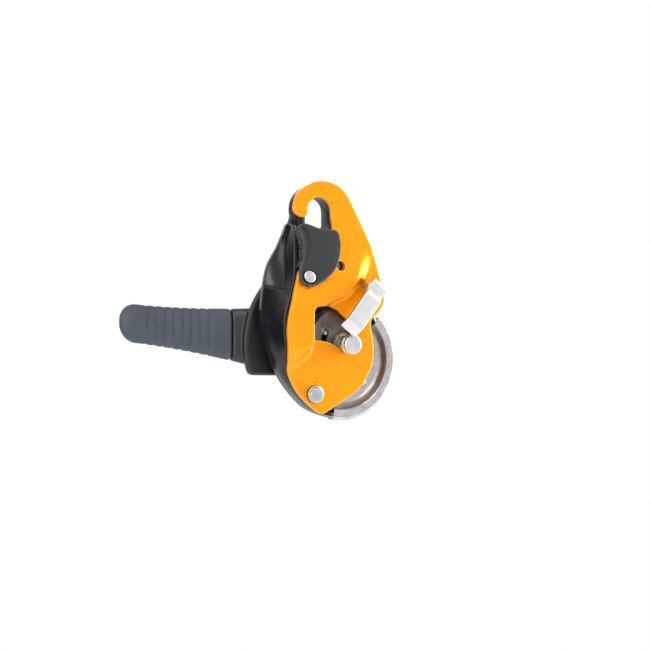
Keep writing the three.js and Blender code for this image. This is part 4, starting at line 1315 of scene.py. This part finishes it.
def handle_lever():
    """Boss, wide root and neck grown into one moulding, with the core that carries the grip."""
    seat = LEVER_BACK - 3
    boss = lathe("boss", [
        (AXLE_BORE, LEVER_FRONT), (HUB_RADIUS, LEVER_FRONT), (HUB_RADIUS, LEVER_BACK - 1.2),
        (HUB_RADIUS - 1.2, LEVER_BACK), (AXLE_BORE, LEVER_BACK),
    ], AXLE, 0.8, 128, ring=True)
    outline = soften(np.vstack([
        arc(AXLE, FAN_RADIUS, 136, 199.5),
        [(-6, AXLE[1] - 20), (AXLE[0], AXLE[1] - HUB_RADIUS + 1), (AXLE[0] + 8, AXLE[1])],
        [(AXLE[0], AXLE[1] + HUB_RADIUS - 1), (-4, -52)],
    ]), 2.0)
    outline_starts, outline_ends = segments_of([outline])

    def fan_back(points):
        """The root is dished inside a raised border."""
        away = distance_to(points, outline_starts, outline_ends)
        return LEVER_FRONT + 5 - 1.4 * smoothstep((away - 2.6) / 1.6)

    fan = soft_plate("fan", [outline, circle(AXLE, 7)], level(LEVER_FRONT), fan_back, 1.6, 1.2)
    neck_shares = np.linspace(0.0, 0.965, 120)
    rings = []
    for share in neck_shares:
        inset = 0.0 if share < GRIP_START - 0.01 else GRIP_WALL + GAP
        taper = 2.6 * (1 - float(smoothstep(share / 0.12)))
        rings.append(lever_section(share, inset + taper, 0.9 if share > 0.5 else 2.0))
    neck = loft("neck", rings)
    collar_profile = [(6.6, 15.4), (8.8, 15.4), (8.8, 20.6), (6.6, 20.6)]
    collar = lathe("collar", collar_profile, BUTTON, 0.4, 64, ring=True)
    lever = join(with_plain_origin(boss), fan, neck, with_plain_origin(collar))
    remesh = lever.modifiers.new("grow", "REMESH")
    remesh.mode = "VOXEL"
    remesh.voxel_size = 0.62 * MM
    soften_skin = lever.modifiers.new("soften", "SMOOTH")
    soften_skin.factor = 0.5
    soften_skin.iterations = 8
    apply_modifiers(lever)
    button_floor = LEVER_FRONT + 2.2
    through = [(0, 10), (AXLE_BORE, 10), (AXLE_BORE, 40), (0, 40)]
    button_well = [(0, button_floor), (6.3, button_floor), (6.3, 40), (0, 40)]
    screw_well = [(0, 10), (SCREW_BORE, 10), (SCREW_BORE, seat), (3.6, seat), (3.6, 40), (0, 40)]
    cutters = [
        lathe("cutter", through, AXLE, 0.01, 96),
        lathe("cutter", button_well, BUTTON, 0.01, 96),
        *[lathe("cutter", screw_well, place, 0.01, 64) for place in HANDLE_SCREWS],
    ]
    cut(lever, cutters)
    stand_for(lever, "handle_lever", LEVER_PLASTIC)


def axle_washer():
    front = LEVER_BACK + GAP
    profile = [(AXLE_BORE, front), (11, front), (11, 23.6), (AXLE_BORE, 23.6)]
    stand_for(lathe("washer", profile, AXLE, 0.25, ring=True), "axle_washer", TURNED)


def retaining_ring():
    """Open spring ring in the axle's groove."""
    section = filleted([(5.95, 24.2), (8.6, 24.2), (8.6, 25), (5.95, 25)], 0.2, closed=True)
    turns = np.linspace(-63, 243, 120)
    rings = [ring_at(AXLE, degrees, section[:, 0], section[:, 1]) for degrees in turns]
    stand_for(loft("ring", rings), "retaining_ring", SPRING)


def release_button():
    profile = [(0, 22.8), (4.5, 22.8), (4.5, 21), (6, 21), (6, 25.2), (5.2, 26), (3.4, 26.1), (0, 25.6)]
    stand_for(lathe("button", profile, BUTTON, 0.5), "release_button", BUTTON_PLASTIC)


# ------------------------------------------------------------ studio

DARK_SIDE = Vector((-0.9, 0.43, 0.0)).normalized()  # where the room is darker


def studio():
    """Four soft boxes in a white room with a darker patch, which the camera sees as plain white."""
    scene = bpy.context.scene
    scene.view_settings.view_transform = "Standard"
    scene.world = bpy.data.worlds.new("room")
    room = Nodes(scene.world, "Background")
    where = room.add("ShaderNodeTexCoord").outputs["Generated"]
    parts = room.add("ShaderNodeSeparateXYZ")
    room.link(where, parts.inputs[0])
    ramp = room.add("ShaderNodeValToRGB")
    stops = ramp.color_ramp.elements
    stops[0].color = (0.16, 0.16, 0.165, 1)
    stops[1].color = (0.72, 0.72, 0.72, 1)
    stops.new(0.5).color = (1.0, 1.0, 1.0, 1)
    room.link(room.remap(parts.outputs[2], -1, 1, 0, 1), ramp.inputs[0])
    toward = room.add("ShaderNodeVectorMath", operation="DOT_PRODUCT")
    toward.inputs[1].default_value = DARK_SIDE
    room.link(where, toward.inputs[0])
    shade = room.add("ShaderNodeVectorMath", operation="SCALE")
    room.link(ramp.outputs[0], shade.inputs[0])
    light_left = room.remap(toward.outputs["Value"], 0.82, 0.96, 1.0, 0.06, interpolation_type="SMOOTHSTEP")
    room.link(light_left, shade.inputs["Scale"])
    room.link(shade.outputs[0], room.shader.inputs["Color"])
    room.set(Strength=1.0)
    seen = room.add("ShaderNodeBackground", Color=(1, 1, 1, 1), Strength=1.0)
    chooser = room.add("ShaderNodeMixShader")
    room.link(room.add("ShaderNodeLightPath").outputs["Is Camera Ray"], chooser.inputs[0])
    room.link(room.shader.outputs[0], chooser.inputs[1])
    room.link(seen.outputs[0], chooser.inputs[2])
    room.link(chooser.outputs[0], room.tree.nodes["World Output"].inputs["Surface"])
    soft_box("key", (-0.35, -1.35, 1.25), 1.1, 1.1, 10)
    soft_box("right_strip", (1.45, -0.4, 0.15), 0.6, 1.4, 38)
    soft_box("left_strip", (-1.5, -0.3, 0.1), 0.35, 1.4, 11)
    soft_box("back_fill", (0.5, 1.6, 0.8), 1.2, 1.0, 9)


AIM = Vector((0.0, 0.0, -0.07))


def soft_box(name, place, width, height, power):
    light = bpy.data.lights.new(name, "AREA")
    light.shape = "RECTANGLE"
    light.size = width
    light.size_y = height
    light.energy = power
    lamp = bpy.data.objects.new(name, light)
    lamp.location = place
    lamp.rotation_euler = (AIM - Vector(place)).to_track_quat("-Z", "Y").to_euler()
    bpy.context.scene.collection.objects.link(lamp)


def floor():
    """Pale floor well below the hanging object."""
    low, _ = cad_bounds
    height = low[2] / MM - 330
    radii = np.array([60, 200, 400, 650, 900])
    angles = 2 * math.pi * np.arange(72) / 72
    vertices = [(0, 0, height)]
    vertices += [(r * math.cos(t), r * math.sin(t), height) for r in radii for t in angles]
    faces = [[0, 1 + j, 1 + (j + 1) % 72] for j in range(72)]
    for i in range(len(radii) - 1):
        a = 1 + 72 * i
        b = a + 72
        faces += [[a + j, b + j, b + (j + 1) % 72, a + (j + 1) % 72] for j in range(72)]
    piece = make_object("floor", vertices, faces)
    nodes = material_nodes("pale_floor")
    nodes.set(Roughness=0.8)
    where = nodes.coordinates()
    color = nodes.mix(nodes.cloud(where, 8, 3), (0.86, 0.86, 0.86), (0.9, 0.9, 0.9))
    piece.data.materials.append(nodes.finish(color))


CAMERA_TARGET = Vector((0.007245, 0.0, -0.072534))
CAMERA_DISTANCE = 1.2
CAMERA_TURN = math.radians(28)  # to the left of straight in front
CAMERA_LENS = 105.5


def camera():
    """Level view of the hanging object from the left front."""
    data = bpy.data.cameras.new("camera")
    data.sensor_width = 36
    data.lens = CAMERA_LENS
    lens = bpy.data.objects.new("camera", data)
    backward = Vector((-math.sin(CAMERA_TURN), -math.cos(CAMERA_TURN), 0))
    lens.location = CAMERA_TARGET + CAMERA_DISTANCE * backward
    lens.rotation_euler = (CAMERA_TARGET - lens.location).to_track_quat("-Z", "Y").to_euler()
    bpy.context.scene.collection.objects.link(lens)
    bpy.context.scene.camera = lens


# ------------------------------------------------------------ assembly

camera()
studio()
floor()

front_side_plate()
rear_side_plate()
side_guard()
friction_plate()
main_axle()
plate_pivot_axle()
locking_stud()
cam_stop_pin()
catch_pin()
for number in (1, 2, 3, 4):
    guard_screw(number)
for number in (1, 2, 3):
    friction_rivet(number)
for number in (1, 2):
    brake_screw(number)
    handle_screw(number)
pivot_bush()
auxiliary_brake()
gate()
gate_rivet()
springs()
cam()
cam_bush()
anti_error_catch()
handle_hub()
handle_lever()
handle_grip()
axle_washer()
retaining_ring()
release_button()
